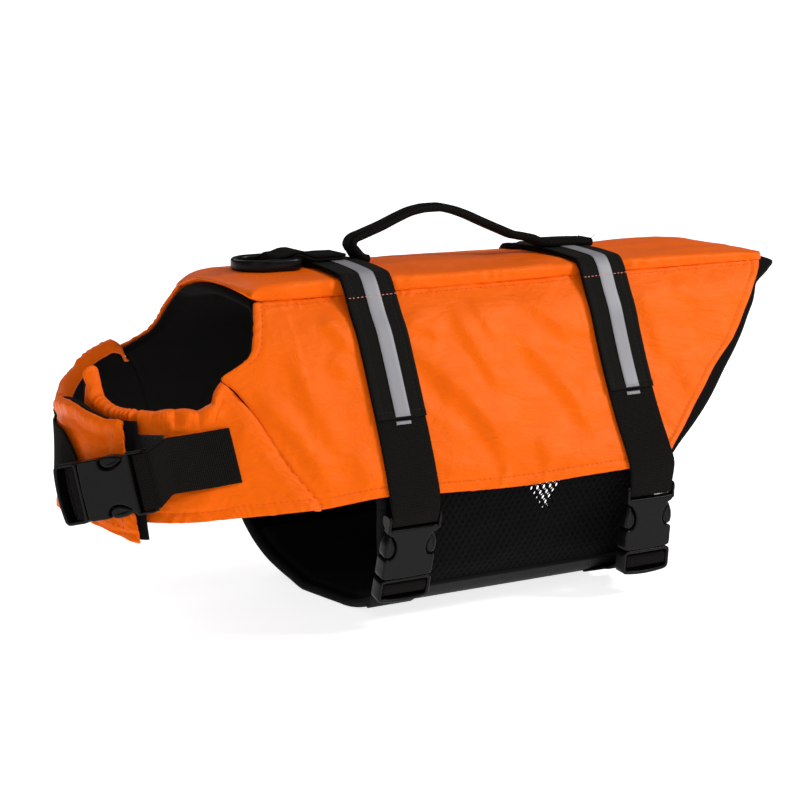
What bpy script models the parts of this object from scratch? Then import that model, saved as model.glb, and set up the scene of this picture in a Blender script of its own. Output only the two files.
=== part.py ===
"""Dog life jacket: padded back slab, side panels, chest flaps, belly, straps and buckles.

Run with: blender --background --python part.py

Lengths in the tables and named sizes are millimetres; every mesh is written in metres
through MM. +X runs towards the tail, +Z is up, and -Y is the dog's left, the side with
the buckles. Z = 0 is the surface that the belly base stands on.
"""

import math

import bmesh
import bpy
import numpy as np
from mathutils import Matrix, Vector

MM = 0.001
SEAM_GAP = 0.3
CHORD_GAP = 0.6  # gap where two curved layers are drawn with different grids
FLAP_LAYER_GAP = 0.8  # the same inside the chest flaps, which curve more

# Driving sizes.
CENTRE_X = 15.5  # shift that brings the middle of the jacket's length to X = 0
CENTRE_Y = -0.4
COVER = 2.0  # outer cloth, doubled at its hems
LINING = 6.5  # foam and its inner cloth
FLAP_LINING = 5.0  # the same in the chest flaps
CANVAS = 1.4  # belly mesh cloth
BASE = 6.0  # padded belly base
WEBBING = 2.0
WEBBING_WIDTH = 38.0
BAND = 1.0  # smooth hemmed band over the webbing
SLAB_HALF_WIDTH = 51.0
SLAB_SIDE = 13.0  # height of the back slab's side wall
SLAB_CENTRE = 9.2  # its thickness along the spine
SLAB_CROWN = 8.0  # rise of the slab's underside between its seams
SLAB_ROUND = 4.5  # how far its rounded side wall bulges
RIGHT_LEAD = 8.0  # the right side's neck edge runs this far ahead of the left's
PINCH = 7.0  # how far the side panels draw in towards the tail
FLARE = 3.0  # how far their lower rear corners stand out again
FLAP_HEM = 150.0  # depth of the hem below the side seam
NOSE_START_X = -125.0  # where the plan of the chest starts to curve
NOSE_HALF_WIDTH = 106.0
NOSE_LENGTH = 205.0  # along the cloth from there to the middle of the chest
NOSE_LEAN = 0.15  # share of the sides' outward lean that is left at the chest
OVERLAP_LIFT = 11.3  # the right chest flap lies this far outside the left one
TUCK = 11.5  # how far the chest buckle pulls in the right flap before the overlap
TUCK_RANGE = (95.0, 222.0)  # along the cloth
TUCK_DEPTHS = (75.0, 125.0)
LIFT_RANGE = (165.0, 222.0)
FRONT_STRAP_X = -59.5
REAR_STRAP_X = 144.8

# Body section below the side seam: half width and height of the outer cloth.
BODY_SECTION = (
    (51.0, 233.5),
    (68.5, 215.0),
    (81.5, 190.0),
    (92.0, 167.0),
    (106.0, 135.0),
    (116.0, 108.0),
    (119.5, 95.0),
    (122.0, 82.0),
)
# Side panel's front edge: depth below the seam, X. Neck curve, then the slanted chest seam.
PANEL_FRONT = (
    (0.0, -150.0),
    (20.0, -155.0),
    (34.0, -161.0),
    (41.5, -168.0),
    (47.0, -178.0),
    (54.0, -190.0),
    (64.0, -181.0),
    (80.0, -170.0),
    (100.0, -160.0),
    (128.0, -145.0),
    (150.0, -131.0),
)
# Side panel's rear edge: depth, X, how far the lining stands out beyond the cover.
PANEL_REAR = (
    (0.0, 297.0, 17.0),
    (5.0, 295.0, 14.0),
    (22.0, 283.0, 3.0),
    (43.0, 268.0, 2.5),
    (64.0, 251.0, 4.0),
    (82.5, 229.0, 8.5),
    (104.0, 207.0, 9.0),
    (125.0, 184.0, 7.5),
    (139.0, 167.0, 7.0),
    (146.0, 160.0, 5.0),
    (150.0, 151.0, 3.0),
)
# How much lower the side panel's hem hangs: X, drop.
PANEL_HEM = (
    (-131.0, 0.0),
    (-81.0, -2.5),
    (-38.0, 0.0),
    (36.0, 3.0),
    (90.0, 1.5),
    (150.0, 0.0),
)
# Plan of the chest: distance along the cloth, heading in degrees away from straight ahead.
NOSE_HEADING = (
    (0.0, 4.0),
    (40.0, 7.0),
    (80.0, 12.0),
    (100.0, 26.0),
    (120.0, 43.0),
    (140.0, 59.0),
    (160.0, 72.0),
    (180.0, 82.0),
    (205.0, 90.0),
)
# Chest flaps: distance along the cloth, depth of the upper edge, depth of the hem.
LEFT_FLAP = (
    (65.0, 54.0, 150.0),
    (71.0, 62.0, 150.0),
    (74.0, 70.0, 150.0),
    (84.0, 73.5, 150.5),
    (104.0, 71.5, 151.5),
    (124.0, 73.5, 152.0),
    (150.0, 73.0, 151.0),
    (172.0, 66.0, 150.0),
    (184.0, 46.0, 150.0),
)
RIGHT_FLAP = (
    (73.0, 54.0, 150.0),
    (76.5, 49.0, 150.0),
    (81.0, 46.0, 150.0),
    (87.0, 45.0, 150.0),
    (96.0, 48.0, 150.0),
    (108.0, 54.0, 150.0),
    (120.0, 65.0, 150.0),
    (132.0, 75.0, 150.0),
    (144.0, 81.0, 150.5),
    (156.0, 84.5, 151.0),
    (168.0, 83.0, 151.5),
    (184.0, 78.0, 152.0),
    (200.0, 73.0, 152.5),
    (216.0, 71.0, 153.0),
    (230.0, 72.0, 154.5),
    (244.0, 76.5, 157.0),
    (258.0, 79.5, 161.0),
    (269.0, 80.5, 164.5),
)
RIGHT_FLAP_SLANT = 17.0  # the right flap's hem reaches this much farther than its top corner
FLAP_LINING_REACH = 8.0  # the flap's lining stands out beyond its cover at the end
# Back slab: X, how much lower its arch is than at the front, share of its full thickness.
SLAB_PROFILE = (
    (-166.0, 0.0, 0.24),
    (-158.0, 0.0, 0.38),
    (-150.0, 0.0, 0.66),
    (-143.0, 0.0, 0.86),
    (-138.0, 0.0, 0.94),
    (-130.0, 0.1, 1.0),
    (-60.0, 0.6, 0.94),
    (43.0, 1.6, 0.82),
    (143.0, 2.3, 0.76),
    (219.0, 2.8, 0.73),
    (262.0, 3.2, 0.7),
    (283.0, 3.9, 0.62),
    (300.0, 5.4, 0.48),
    (316.0, 7.4, 0.3),
)
# Belly sections, outer face: half width and height, from the sewn top edge down.
BELLY_LEFT = (
    (104.5, 108.0),
    (106.8, 97.0),
    (104.0, 76.0),
    (99.5, 56.0),
    (95.0, 40.0),
    (88.0, 26.0),
    (75.0, 15.5),
    (60.0, 8.4),
    (45.0, 3.6),
    (26.0, 0.0),
)
BELLY_RIGHT = (
    (104.5, 108.0),
    (107.8, 97.0),
    (112.0, 76.0),
    (114.0, 56.0),
    (111.0, 40.0),
    (100.5, 26.0),
    (83.0, 14.2),
    (63.0, 7.6),
    (45.0, 3.6),
    (26.0, 0.0),
)
# Belly's ends: height, X of the front edge, X of the rear edge.
BELLY_ENDS = (
    (0.0, -64.0, 150.0),
    (15.0, -66.5, 154.0),
    (30.0, -70.0, 157.0),
    (60.0, -76.0, 160.0),
    (97.0, -81.0, 162.0),
    (108.0, -82.0, 162.0),
)
BINDING_WIDTH = 7.0
BINDING = 4.6
# Folded webbing handle, seen from the side: X, height of its middle, width.
HANDLE_ROUTE = (
    (-23.0, 252.4, 20.0),
    (-31.0, 252.6, 20.0),
    (-36.4, 254.8, 19.0),
    (-40.0, 258.6, 17.0),
    (-42.8, 262.6, 15.0),
    (-40.8, 266.6, 13.0),
    (-32.5, 269.6, 12.0),
    (-16.2, 275.0, 11.0),
    (-2.3, 280.7, 10.0),
    (9.7, 284.6, 10.0),
    (21.8, 286.2, 10.0),
    (30.7, 286.2, 10.0),
    (42.1, 284.0, 10.0),
    (54.5, 279.8, 10.0),
    (71.1, 272.6, 10.0),
    (87.9, 265.6, 10.5),
    (99.0, 261.2, 12.0),
    (107.0, 259.2, 15.0),
    (114.0, 257.6, 18.0),
    (120.0, 255.0, 20.0),
    (127.0, 253.2, 20.0),
    (147.0, 252.6, 20.0),
    (167.0, 251.6, 20.0),
)
HANDLE_THICKNESS = 4.0
PANEL_ROWS = (0.8, 11.0, 22.0, 34.0, 41.5, 47.0, 54.0, 63.0, 75.0, 90.0, 105.0, 121.0, 136.0, 150.0)
# Largest folds of a side panel, from the neck to the tail: X and depth of the crest's upper
# end, X and depth of its lower end, height.
PANEL_FOLDS = (
    (-156.0, 66.0, -122.0, 138.0, 2.2),
    (-32.0, 44.0, 26.0, 143.0, 3.2),
    (51.0, 34.0, 106.0, 130.0, 2.6),
)
FOLD_FLANKS = (-8.0, 14.0)  # a fold's feet, measured along X from its crest
FOLD_FULLNESS = 0.7  # 1 gives a fold a sine's outline along its crest, less a fuller one
PANEL_STEPS = (1, 4, 2, 7)  # columns before, between and behind the folds
FOLD = COVER + FLAP_LAYER_GAP + FLAP_LINING + FLAP_LAYER_GAP + COVER
# Upper edge of a flap's cover, turned over the foam: depth below the edge, offset.
TURNED_EDGE = (
    (11.0, -FOLD),
    (4.5, -FOLD),
    (1.4, -0.86 * FOLD),
    (0.0, -0.5 * FOLD),
    (1.4, -0.14 * FOLD),
)
FLAP_ROWS = (0.06, 0.13, 0.24, 0.37, 0.52, 0.68, 0.84, 1.0)  # share of the way to the hem
LINING_DROP = 5.0  # the lining stops this far below the turned edge
FLAP_GAP = 1.0
FLAP_LINING_GAP = 4.1  # between the two linings, whose foam stands back from the seam
# Columns of a flap's cover, two for each gather, and of its lining.
LEFT_COLUMNS = (31, 20)
RIGHT_COLUMNS = (41, 28)
RUFFLE = 1.4  # height of the gathers along a flap's turned edge
# Share of that height on the rows of the turned edge and on the first row below it.
RUFFLE_ROWS = (0.0, 0.0, 0.2, 0.5, 0.8, 1.0)
LINING_HEM_RISE = 2.0  # the lining's hem is this much higher than the cover's
COLUMN_POWER = 1.08  # columns stand closer together near the chest seam
SLANT_START = 150.0  # the right flap's slanted end begins to show from here
RUFFLE_END = (108.0, 122.0)  # the left flap's gathers fade out here, beneath the right flap
SIDE_DEPTHS = (150.0, 138.0, 122.0, 106.0, 90.0, 74.0, 60.0, 46.0, 33.0, 21.0, 10.0)
BAR = 2.5  # half thickness of the bars that webbing wraps
BAR_CLEAR = 0.4
LOOP = BAR + BAR_CLEAR + WEBBING
MALE_BAR = 55.0  # from the female bar to the male bar
# Webbing round a buckle's bar, outer face: along the buckle, out of its face.
FEMALE_LOOP = (
    (-3.5, LOOP),
    (0.0, LOOP),
    (BAR, LOOP),
    (LOOP - 0.7, LOOP - 0.7),
    (LOOP, BAR),
    (LOOP, -1.0),
    (LOOP, -4.5),
)
MALE_LOOP = (
    (MALE_BAR + LOOP, -5.6),
    (MALE_BAR + LOOP, BAR),
    (MALE_BAR + LOOP - 0.7, LOOP - 0.7),
    (MALE_BAR + BAR, LOOP),
    (MALE_BAR - BAR, LOOP),
    (MALE_BAR - LOOP + 0.7, LOOP - 0.7),
    (MALE_BAR - LOOP, BAR),
    (MALE_BAR - LOOP, -4.0),
)
CHEST_LEAD_IN = -9.0  # the left chest strap is straight from here to the buckle's bar
STRAP_SLANT = 0.12  # the chest straps lean forward at their upper edges by this share
CHEST_GAP = 0.9
STRAP_STEP = 8.0
# Chest straps, along the middle: distance along the cloth, depth, height above the flap.
LEFT_STRAP_ROUTE = (
    (63.0, 107.5, 0.0),
    (72.0, 108.2, 0.0),
    (81.0, 109.2, 0.6),
    (90.0, 110.2, 3.0),
    (98.0, 111.4, 7.5),
    (105.0, 112.6, 13.0),
)
RIGHT_STRAP_ROUTE = (
    (92.0, 108.0, 0.0),
    (110.0, 109.0, 0.0),
    (130.0, 110.0, 0.0),
    (150.0, 112.0, 0.0),
    (168.0, 115.0, 0.0),
    (184.0, 118.0, 0.0),
    (200.0, 121.0, 0.0),
    (214.0, 123.0, 0.5),
    (224.0, 124.0, 2.0),
)
# Webbing on the right of the belly, outer face: Y, height, share of its slide to the rear.
FAR_STRAP_END = (
    (122.6, 96.0, 0.0),
    (116.4, 86.0, 0.0),
    (115.4, 74.0, 0.1),
    (117.1, 56.0, 0.3),
    (113.7, 38.2, 0.5),
    (102.2, 23.2, 0.7),
    (84.5, 11.7, 0.85),
    (64.0, 5.0, 1.0),
)
FRONT_STRAP_SLIDE = 15.0
# Ends of the belly webbing, sewn under the base: shift along X, Y, height.
FRONT_SEWN = (
    (14.0, -60.9, 5.9),
    (11.0, -68.8, 9.2),
    (7.0, -77.0, 13.0),
    (3.0, -85.4, 19.0),
    (1.0, -90.0, 23.2),
)
REAR_SEWN = (
    (0.0, -60.9, 5.9),
    (0.0, -69.6, 8.6),
    (0.0, -79.0, 11.6),
    (-1.0, -88.0, 14.6),
    (-2.0, -97.0, 17.0),
    (-3.0, -103.4, 20.4),
)
BUCKLE_WIDTH = 42.4
BUCKLE_THICKNESS = 11.0
FEMALE_END = 44.0
MALE_END = 65.5
SLOT_WIDTH = 38.8
SLOT_END = 6.2  # where the female's plate begins, just beyond the wrapped bar
TONGUE = (24.0, 24.0, 5.0)
WINDOW = (14.2, 21.0, 8.4, 10.0)  # across, along, half width, half length
PRONG = (14.2, 22.5, 6.2, 7.0)
RING_LENGTH = 48.0
RING_HALF_WIDTH = 20.5
RING_THICKNESS = 7.0
RING_FRONT_X = -137.0
RING_Z = 254.1
RING_HOLE = (17.5, 13.6)  # centre behind the ring's front, radius
RING_BAR = (31.0, 35.0)  # cross bar, from the ring's front
RING_RIM = 43.0  # front face of the rear rim
RING_BAR_UNDER = -0.6  # the bar's underside, from the ring's middle: webbing passes below
# Webbing of the lead ring, outer face of its loop: X, height.
RING_ROUTE = (
    (-54.0, 253.9),
    (-68.0, 254.2),
    (-78.0, 254.3),
    (-84.0, 256.2),
    (-88.6, 258.1),
    (-93.4, 258.2),
    (-95.4, 256.4),
    (-97.2, 252.8),
    (-99.4, 250.9),
    (-103.0, 250.7),
    (-106.4, 250.8),
    (-108.6, 252.0),
    (-109.2, 254.4),
    (-109.2, 257.6),
    (-108.3, 259.6),
    (-106.0, 260.4),
    (-102.0, 260.6),
    (-95.0, 262.5),
    (-88.0, 262.5),
    (-83.0, 260.6),
    (-77.0, 258.8),
    (-66.0, 258.6),
    (-53.0, 258.3),
)
RING_WEBBING_WIDTH = 26.0
HANDLE_STEPS = 44
CORNER_ANGLE = math.radians(40)  # sharper edges than this are shaded sharp
# Body hem of the side panels: the X range that PANEL_HEM covers.
HEM_RANGE = (-131.0, 150.0)
LEAN_POWER = 1.5
PINCH_RANGE = (20.0, 145.0)  # the side panels draw in over this stretch of X
FLARE_RANGE = (110.0, 150.0)  # depths over which their lower corners stand out again
NARROW_DEPTH = 30.0  # above this depth the chest follows the plan at the neck
SIDE_WALL = (5.0, 35.0, 65.0, 90.0)  # angles of the straps' points on the slab's side wall
OVER_SLAB = (0.7, 0.45, 0.2)  # shares of the slab's half width, up to the spine
BAND_DEPTHS = (95.0, 84.0, 74.0, 60.0, 46.0, 33.0, 21.0, 10.0)
SLAB_SHARES = np.concatenate([[0.0, 0.008, 0.02], np.linspace(0.06, 0.94, 18), [0.97, 0.99, 1.0]])
SLAB_ANGLES = (-90.0, -45.0, 0.0, 45.0, 90.0)
SLAB_MIDDLE = (0.75, 0.5, 0.25, 0.0, -0.25, -0.5, -0.75)
LINING_MIDDLE = np.linspace(-0.92, 0.92, 9)  # shares of the slab's half width
LINING_FRONT = 2.0  # the lining starts this far behind the slab's front edge
LINING_TAIL = (314.0, 9.0)  # its rear edge at the slab's sides, and how much farther on the spine
BELLY_SHARES = np.linspace(0.0, 1.0, 11)
SEWN_DEPTHS = (139.0, 149.0)  # depths at which the belly's walls are sewn inside the panels
MESH_FOOT = 2.6  # the mesh stops this far above the padded base
BASE_ROW = 5  # first row of the belly's section that belongs to the padded base


def smooth(table, at, column=1):
    """Value of a table's column at a position in its first column, on a smooth curve."""
    rows = np.asarray(table, float)
    x = rows[:, 0]
    y = rows[:, column]
    slope = np.diff(y) / np.diff(x)
    tangent = np.empty_like(y)
    tangent[0] = slope[0]
    tangent[-1] = slope[-1]
    turning = slope[:-1] * slope[1:] <= 0.0
    mean = 2.0 * slope[:-1] * slope[1:] / np.where(turning, 1.0, slope[:-1] + slope[1:])
    tangent[1:-1] = np.where(turning, 0.0, mean)
    at = np.asarray(at, float)
    inside = np.clip(at, x[0], x[-1])
    i = np.clip(np.searchsorted(x, inside, side="right") - 1, 0, len(x) - 2)
    h = x[i + 1] - x[i]
    t = (inside - x[i]) / h
    value = y[i] * (1 + 2 * t) * (1 - t) ** 2 + y[i + 1] * t * t * (3 - 2 * t)
    value = value + h * t * (1 - t) * (tangent[i] * (1 - t) - tangent[i + 1] * t)
    before = np.minimum(at - x[0], 0.0) * tangent[0]
    after = np.maximum(at - x[-1], 0.0) * tangent[-1]
    return value + before + after


def by_length(points):
    """The rows of a section with the distance along it put in front of them."""
    rows = np.asarray(points, float)
    step = np.hypot(*np.diff(rows, axis=0).T)
    return np.column_stack([np.concatenate([[0.0], np.cumsum(step)]), rows])


def ease(value, start, end):
    """0 before start, 1 after end, and smooth between them."""
    t = np.clip((np.asarray(value, float) - start) / (end - start), 0.0, 1.0)
    return t * t * (3 - 2 * t)


BODY_ROWS = by_length(BODY_SECTION)


def nose_plan(distance):
    """X, -Y and heading (radians) of the chest's plan curve on the left side.

    The curve is straight behind its start and mirrored past the middle of the chest.
    """
    fine = np.linspace(0.0, NOSE_LENGTH, 206)
    heading = np.radians(smooth(NOSE_HEADING, fine))
    middle = 0.5 * (heading[1:] + heading[:-1])
    step = np.diff(fine)
    ahead = np.concatenate([[0.0], np.cumsum(np.cos(middle) * step)])
    inward = np.concatenate([[0.0], np.cumsum(np.sin(middle) * step)])
    inward = inward * NOSE_HALF_WIDTH / inward[-1]
    distance = np.asarray(distance, float)
    past = distance > NOSE_LENGTH
    folded = np.where(past, 2 * NOSE_LENGTH - distance, distance)
    x = NOSE_START_X - np.interp(folded, fine, ahead) - np.minimum(folded, 0.0)
    out = NOSE_HALF_WIDTH - np.interp(folded, fine, inward)
    turn = np.interp(folded, fine, heading) * (folded > 0)
    return x, np.where(past, -out, out), np.where(past, math.pi - turn, turn)


def body_point(distance, depth, offset, side):
    """A point of the garment's side, chest included.

    distance runs forward along the cloth from the chest's start and depth runs down it
    from the side seam; offset is outward from the outer cloth. side is -1 on the left.
    """
    x, out, heading = nose_plan(distance)
    half = smooth(BODY_ROWS, depth, 1)
    height = smooth(BODY_ROWS, depth, 2)
    lean = 1.0 - (1.0 - NOSE_LEAN) * np.sin(heading) ** LEAN_POWER
    rear = ease(x, *PINCH_RANGE)
    arch = np.sin(math.pi * np.clip(depth / FLAP_HEM, 0.0, 1.0))
    spread = (half - NOSE_HALF_WIDTH) * lean
    spread = spread - PINCH * rear * arch + FLARE * rear * ease(depth, *FLARE_RANGE)
    narrow = (NOSE_HALF_WIDTH - out) * (1.0 - ease(depth, 0.0, NARROW_DEPTH))
    step = 0.5
    run = (smooth(BODY_ROWS, depth + step, 1) - smooth(BODY_ROWS, depth - step, 1)) * lean
    fall = smooth(BODY_ROWS, depth - step, 2) - smooth(BODY_ROWS, depth + step, 2)
    long = np.hypot(run, fall)
    outward = spread + narrow + offset * fall / long
    px = x - np.sin(heading) * outward
    py = out + np.cos(heading) * outward
    return np.stack([px, side * py, height + offset * run / long], -1)


def slab_ends(y):
    """X of the back slab's front and rear edges at a width."""
    share = y / SLAB_HALF_WIDTH
    front = -150.0 - 0.5 * RIGHT_LEAD * (share + 1.0) - 3.5 * (1.0 - share**2)
    rear = 299.0 + 15.0 * (1.0 - np.abs(share) ** 2.2)
    return front, rear


def slab_under(x, y):
    """Height of the arch that the back slab lies on."""
    rise = SLAB_CROWN - smooth(SLAB_PROFILE, x, 1)
    return BODY_SECTION[0][1] - 0.9 + rise * (1.0 - (y / SLAB_HALF_WIDTH) ** 2)


def slab_thickness(x, y):
    """Thickness of the back slab at a place."""
    full = SLAB_SIDE - (SLAB_SIDE - SLAB_CENTRE) * (1.0 - (y / SLAB_HALF_WIDTH) ** 2)
    return full * smooth(SLAB_PROFILE, x, 2)


def slab_side(x, angle, offset):
    """Half width and height on the slab's rounded side wall, angle -90 to 90 degrees."""
    a = math.radians(angle)
    inner = SLAB_HALF_WIDTH - SLAB_ROUND
    half = inner + SLAB_ROUND * math.cos(a) + offset * math.cos(a)
    thick = slab_thickness(x, inner)
    middle = slab_under(x, inner) + CHORD_GAP + 0.5 * thick
    return half, middle + 0.5 * thick * math.sin(a) + offset * math.sin(a)


def slab_top(x, y, offset):
    """Height above the slab at a width."""
    return slab_under(x, y) + CHORD_GAP + slab_thickness(x, y) + offset


def collection_of(name):
    """A new collection in the scene."""
    made = bpy.data.collections.new(name)
    bpy.context.scene.collection.children.link(made)
    return made


def material_of(name, colour, roughness):
    """The named material, made once, from linear RGB and roughness."""
    made = bpy.data.materials.get(name)
    if made is None:
        made = bpy.data.materials.new(name)
        made.use_nodes = True
        shader = made.node_tree.nodes["Principled BSDF"]
        shader.inputs["Base Color"].default_value = (*colour, 1.0)
        shader.inputs["Roughness"].default_value = roughness
        shader.inputs["Metallic"].default_value = 0.0
    return made


def orange_cloth():
    """Coated nylon of the covers."""
    return material_of("orange_oxford_nylon", (0.92, 0.14, 0.012), 0.62)


def black_cloth():
    """Cloth of the linings, the belly base and the smooth bands."""
    return material_of("black_lining_cloth", (0.012, 0.012, 0.012), 0.7)


def black_mesh():
    """Knitted mesh of the belly's sides."""
    return material_of("black_mesh_cloth", (0.014, 0.014, 0.014), 0.8)


def black_webbing():
    """Woven polyester of the straps and bindings."""
    return material_of("black_webbing", (0.011, 0.011, 0.011), 0.75)


def black_plastic():
    """Moulded acetal of the buckles and the ring."""
    return material_of("black_acetal", (0.014, 0.014, 0.014), 0.38)


def add_object(name, mesh, material, collection):
    """An object of a mesh, with its material and smooth shading."""
    made = bpy.data.objects.new(name, mesh)
    mesh.materials.append(material)
    collection.objects.link(made)
    mesh.shade_smooth()
    mesh.set_sharp_from_angle(angle=CORNER_ANGLE)
    return made


def grid_faces(rows, columns, closed=False):
    """Quads of a grid of points stored row by row; closed joins the last column to the first."""
    faces = []
    for i in range(rows - 1):
        for j in range(columns if closed else columns - 1):
            k = (j + 1) % columns
            faces.append((i * columns + j, i * columns + k, (i + 1) * columns + k, (i + 1) * columns + j))
    return faces


def mesh_of(name, points, faces):
    """A closed mesh from points in millimetres, with its faces turned outward."""
    mesh = bpy.data.meshes.new(name)
    placed = (np.asarray(points, float).reshape(-1, 3) - (CENTRE_X, CENTRE_Y, 0.0)) * MM
    mesh.from_pydata(placed.tolist(), [], faces)
    work = bmesh.new()
    work.from_mesh(mesh)
    bmesh.ops.recalc_face_normals(work, faces=work.faces)
    work.to_mesh(mesh)
    work.free()
    return mesh


def sheet(name, points, outward, thickness, material, collection):
    """A cloth wall: an open surface thickened away from the side that outward points to.

    points is a grid (rows, columns, 3); outward is the rough direction of its outer face
    at the grid's middle.
    """
    rows, columns = points.shape[:2]
    i, j = rows // 2, columns // 2
    along = points[min(i + 1, rows - 1), j] - points[i - 1, j]
    across = points[i, min(j + 1, columns - 1)] - points[i, max(j - 1, 0)]
    faces = grid_faces(rows, columns)
    if np.dot(np.cross(across, along), outward) < 0:
        faces = [face[::-1] for face in faces]
    mesh = bpy.data.meshes.new(name)
    placed = (points.reshape(-1, 3) - (CENTRE_X, CENTRE_Y, 0.0)) * MM
    mesh.from_pydata(placed.tolist(), [], faces)
    made = add_object(name, mesh, material, collection)
    wall = made.modifiers.new("cloth thickness", "SOLIDIFY")
    wall.thickness = thickness * MM
    wall.offset = -1.0
    wall.use_even_offset = True
    return made


# Pieces of the garment.


def panel_shares(depth):
    """Places of a side panel's columns at a depth, as shares of the way from neck to tail.

    Each fold gives three columns, at its front foot, its crest and its rear foot, which
    stay at one share above and below the fold.
    """
    marks = [0.0]
    for top_x, top, bottom_x, bottom, _ in PANEL_FOLDS:
        inside = np.clip(depth, top, bottom)
        crest = top_x + (bottom_x - top_x) * (inside - top) / (bottom - top)
        front = smooth(PANEL_FRONT, inside)
        rear = smooth(PANEL_REAR, inside)
        for flank in (FOLD_FLANKS[0], 0.0, FOLD_FLANKS[1]):
            marks.append(float((crest + flank - front) / (rear - front)))
    marks.append(1.0)
    shares = []
    for k, steps in enumerate(PANEL_STEPS):
        start, end = marks[3 * k], marks[3 * k + 1]
        shares += list(start + (end - start) * np.arange(steps) / steps)
        if k < len(PANEL_FOLDS):
            shares += marks[3 * k + 1 : 3 * k + 3]
    return np.array(shares + [1.0])


def fold_heights(depth):
    """How far a side panel stands out at each of its columns at a depth: its fold crests."""
    heights = []
    for k, steps in enumerate(PANEL_STEPS):
        heights += [0.0] * steps
        if k < len(PANEL_FOLDS):
            _, top, _, bottom, height = PANEL_FOLDS[k]
            share = np.clip((depth - top) / (bottom - top), 0.0, 1.0)
            heights += [0.0, height * math.sin(math.pi * share) ** FOLD_FULLNESS]
    return np.array(heights + [0.0])


def side_cover(name, side, collection):
    """Outer cloth of one side: from the side seam to the hem, from the neck to the tail."""
    lead = RIGHT_LEAD if side > 0 else 0.0
    points = []
    for depth in PANEL_ROWS:
        front = smooth(PANEL_FRONT, depth) - lead + 0.5 * SEAM_GAP
        rear = smooth(PANEL_REAR, depth)
        x = front + (rear - front) * panel_shares(depth)
        hem = smooth(PANEL_HEM, np.clip(x, *HEM_RANGE)) * (depth / FLAP_HEM) ** 3
        points.append(body_point(NOSE_START_X - x, depth + hem, fold_heights(depth), side))
    return sheet(name, np.array(points), (0.0, side, 0.2), COVER, orange_cloth(), collection)


def lining_sheet(name, collection):
    """Foam and inner cloth of the back and both sides, in one arch from hem to hem."""
    centre = LINING_MIDDLE * SLAB_HALF_WIDTH
    across = []
    for side, order in ((-1, PANEL_ROWS[::-1]), (0, centre), (1, PANEL_ROWS)):
        for place in order:
            if side:
                lead = RIGHT_LEAD if side > 0 else 0.0
                front = smooth(PANEL_FRONT, place) - lead + SEAM_GAP
                rear = smooth(PANEL_REAR, place) + smooth(PANEL_REAR, place, 2)
                x = front + (rear - front) * panel_shares(place)
                hem = smooth(PANEL_HEM, np.clip(x, *HEM_RANGE)) * (place / FLAP_HEM) ** 3
                column = body_point(NOSE_START_X - x, place + hem, -COVER - 1.5 * SEAM_GAP, side)
            else:
                share = place / SLAB_HALF_WIDTH
                front = slab_ends(place)[0] + LINING_FRONT
                rear = LINING_TAIL[0] + LINING_TAIL[1] * (1.0 - share**2)
                x = front + (rear - front) * panel_shares(PANEL_ROWS[0])
                column = np.stack([x, np.full_like(x, place), slab_under(x, place)], -1)
            across.append(column)
    points = np.array(across)
    return sheet(name, points, (0.0, 0.0, 1.0), LINING, black_cloth(), collection)


def overlap_shift(distance, depth):
    """How far the right flap stands out from the chest, to pass over the left flap."""
    start, end = TUCK_RANGE
    share = np.clip((np.asarray(distance, float) - start) / (end - start), 0.0, 1.0)
    tuck = TUCK * np.sin(math.pi * share) ** 2 * ease(np.asarray(depth, float), *TUCK_DEPTHS)
    return OVERLAP_LIFT * ease(distance, *LIFT_RANGE) - tuck


def flap_sheet(name, side, turned, collection):
    """One layer of a chest flap, from the slanted seam round the front of the chest.

    turned makes the cover, whose upper edge is turned over the foam and gathered in
    ruffles: every second column stands out. Otherwise it is the lining behind it.
    """
    right = side > 0
    table = RIGHT_FLAP if right else LEFT_FLAP
    lead = RIGHT_LEAD if right else 0.0
    slant = RIGHT_FLAP_SLANT if right else 0.0
    columns = (RIGHT_COLUMNS if right else LEFT_COLUMNS)[0 if turned else 1]
    if turned:
        rows = [(0.0, under, out) for under, out in TURNED_EDGE] + [(share, 0.0, 0.0) for share in FLAP_ROWS]
        gather = RUFFLE_ROWS + (0.0,) * (len(rows) - len(RUFFLE_ROWS))
        gap, reach, hem_rise, thickness, cloth = FLAP_GAP, 0.0, 0.0, COVER, orange_cloth()
    else:
        rows = [(share, LINING_DROP, -COVER - FLAP_LAYER_GAP) for share in FLAP_ROWS]
        gather = (0.0,) * len(rows)
        gap, reach, hem_rise, thickness, cloth = (
            FLAP_LINING_GAP,
            FLAP_LINING_REACH,
            LINING_HEM_RISE,
            FLAP_LINING,
            black_cloth(),
        )
    points = []
    for (share, under, out), gathered in zip(rows, gather):
        down = share * (FLAP_HEM - table[0][1])
        seam_depth = min(table[0][1] + down + under, FLAP_HEM)
        start = NOSE_START_X - smooth(PANEL_FRONT, seam_depth) + lead + gap
        end = table[-1][0] + slant * share + reach * (1.0 - 0.5 * share)
        distance = start + (end - start) * np.linspace(0.0, 1.0, columns) ** COLUMN_POWER
        place = distance - slant * share * ease(distance, SLANT_START, end)
        place = np.clip(place, table[0][0], table[-1][0])
        top = smooth(table, place) + under * (1.0 - share)
        hem = smooth(table, place, 2) - hem_rise
        depth = top + (hem - top) * share
        lift = overlap_shift(distance, depth) if right else 0.0
        ruffle = RUFFLE * gathered * (np.arange(columns) % 2)
        if not right:
            ruffle = ruffle * (1.0 - ease(distance, *RUFFLE_END))
        points.append(body_point(distance, depth, out + lift + ruffle, side))
    return sheet(name, np.array(points), (0.0, side, 0.2), thickness, cloth, collection)


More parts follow.
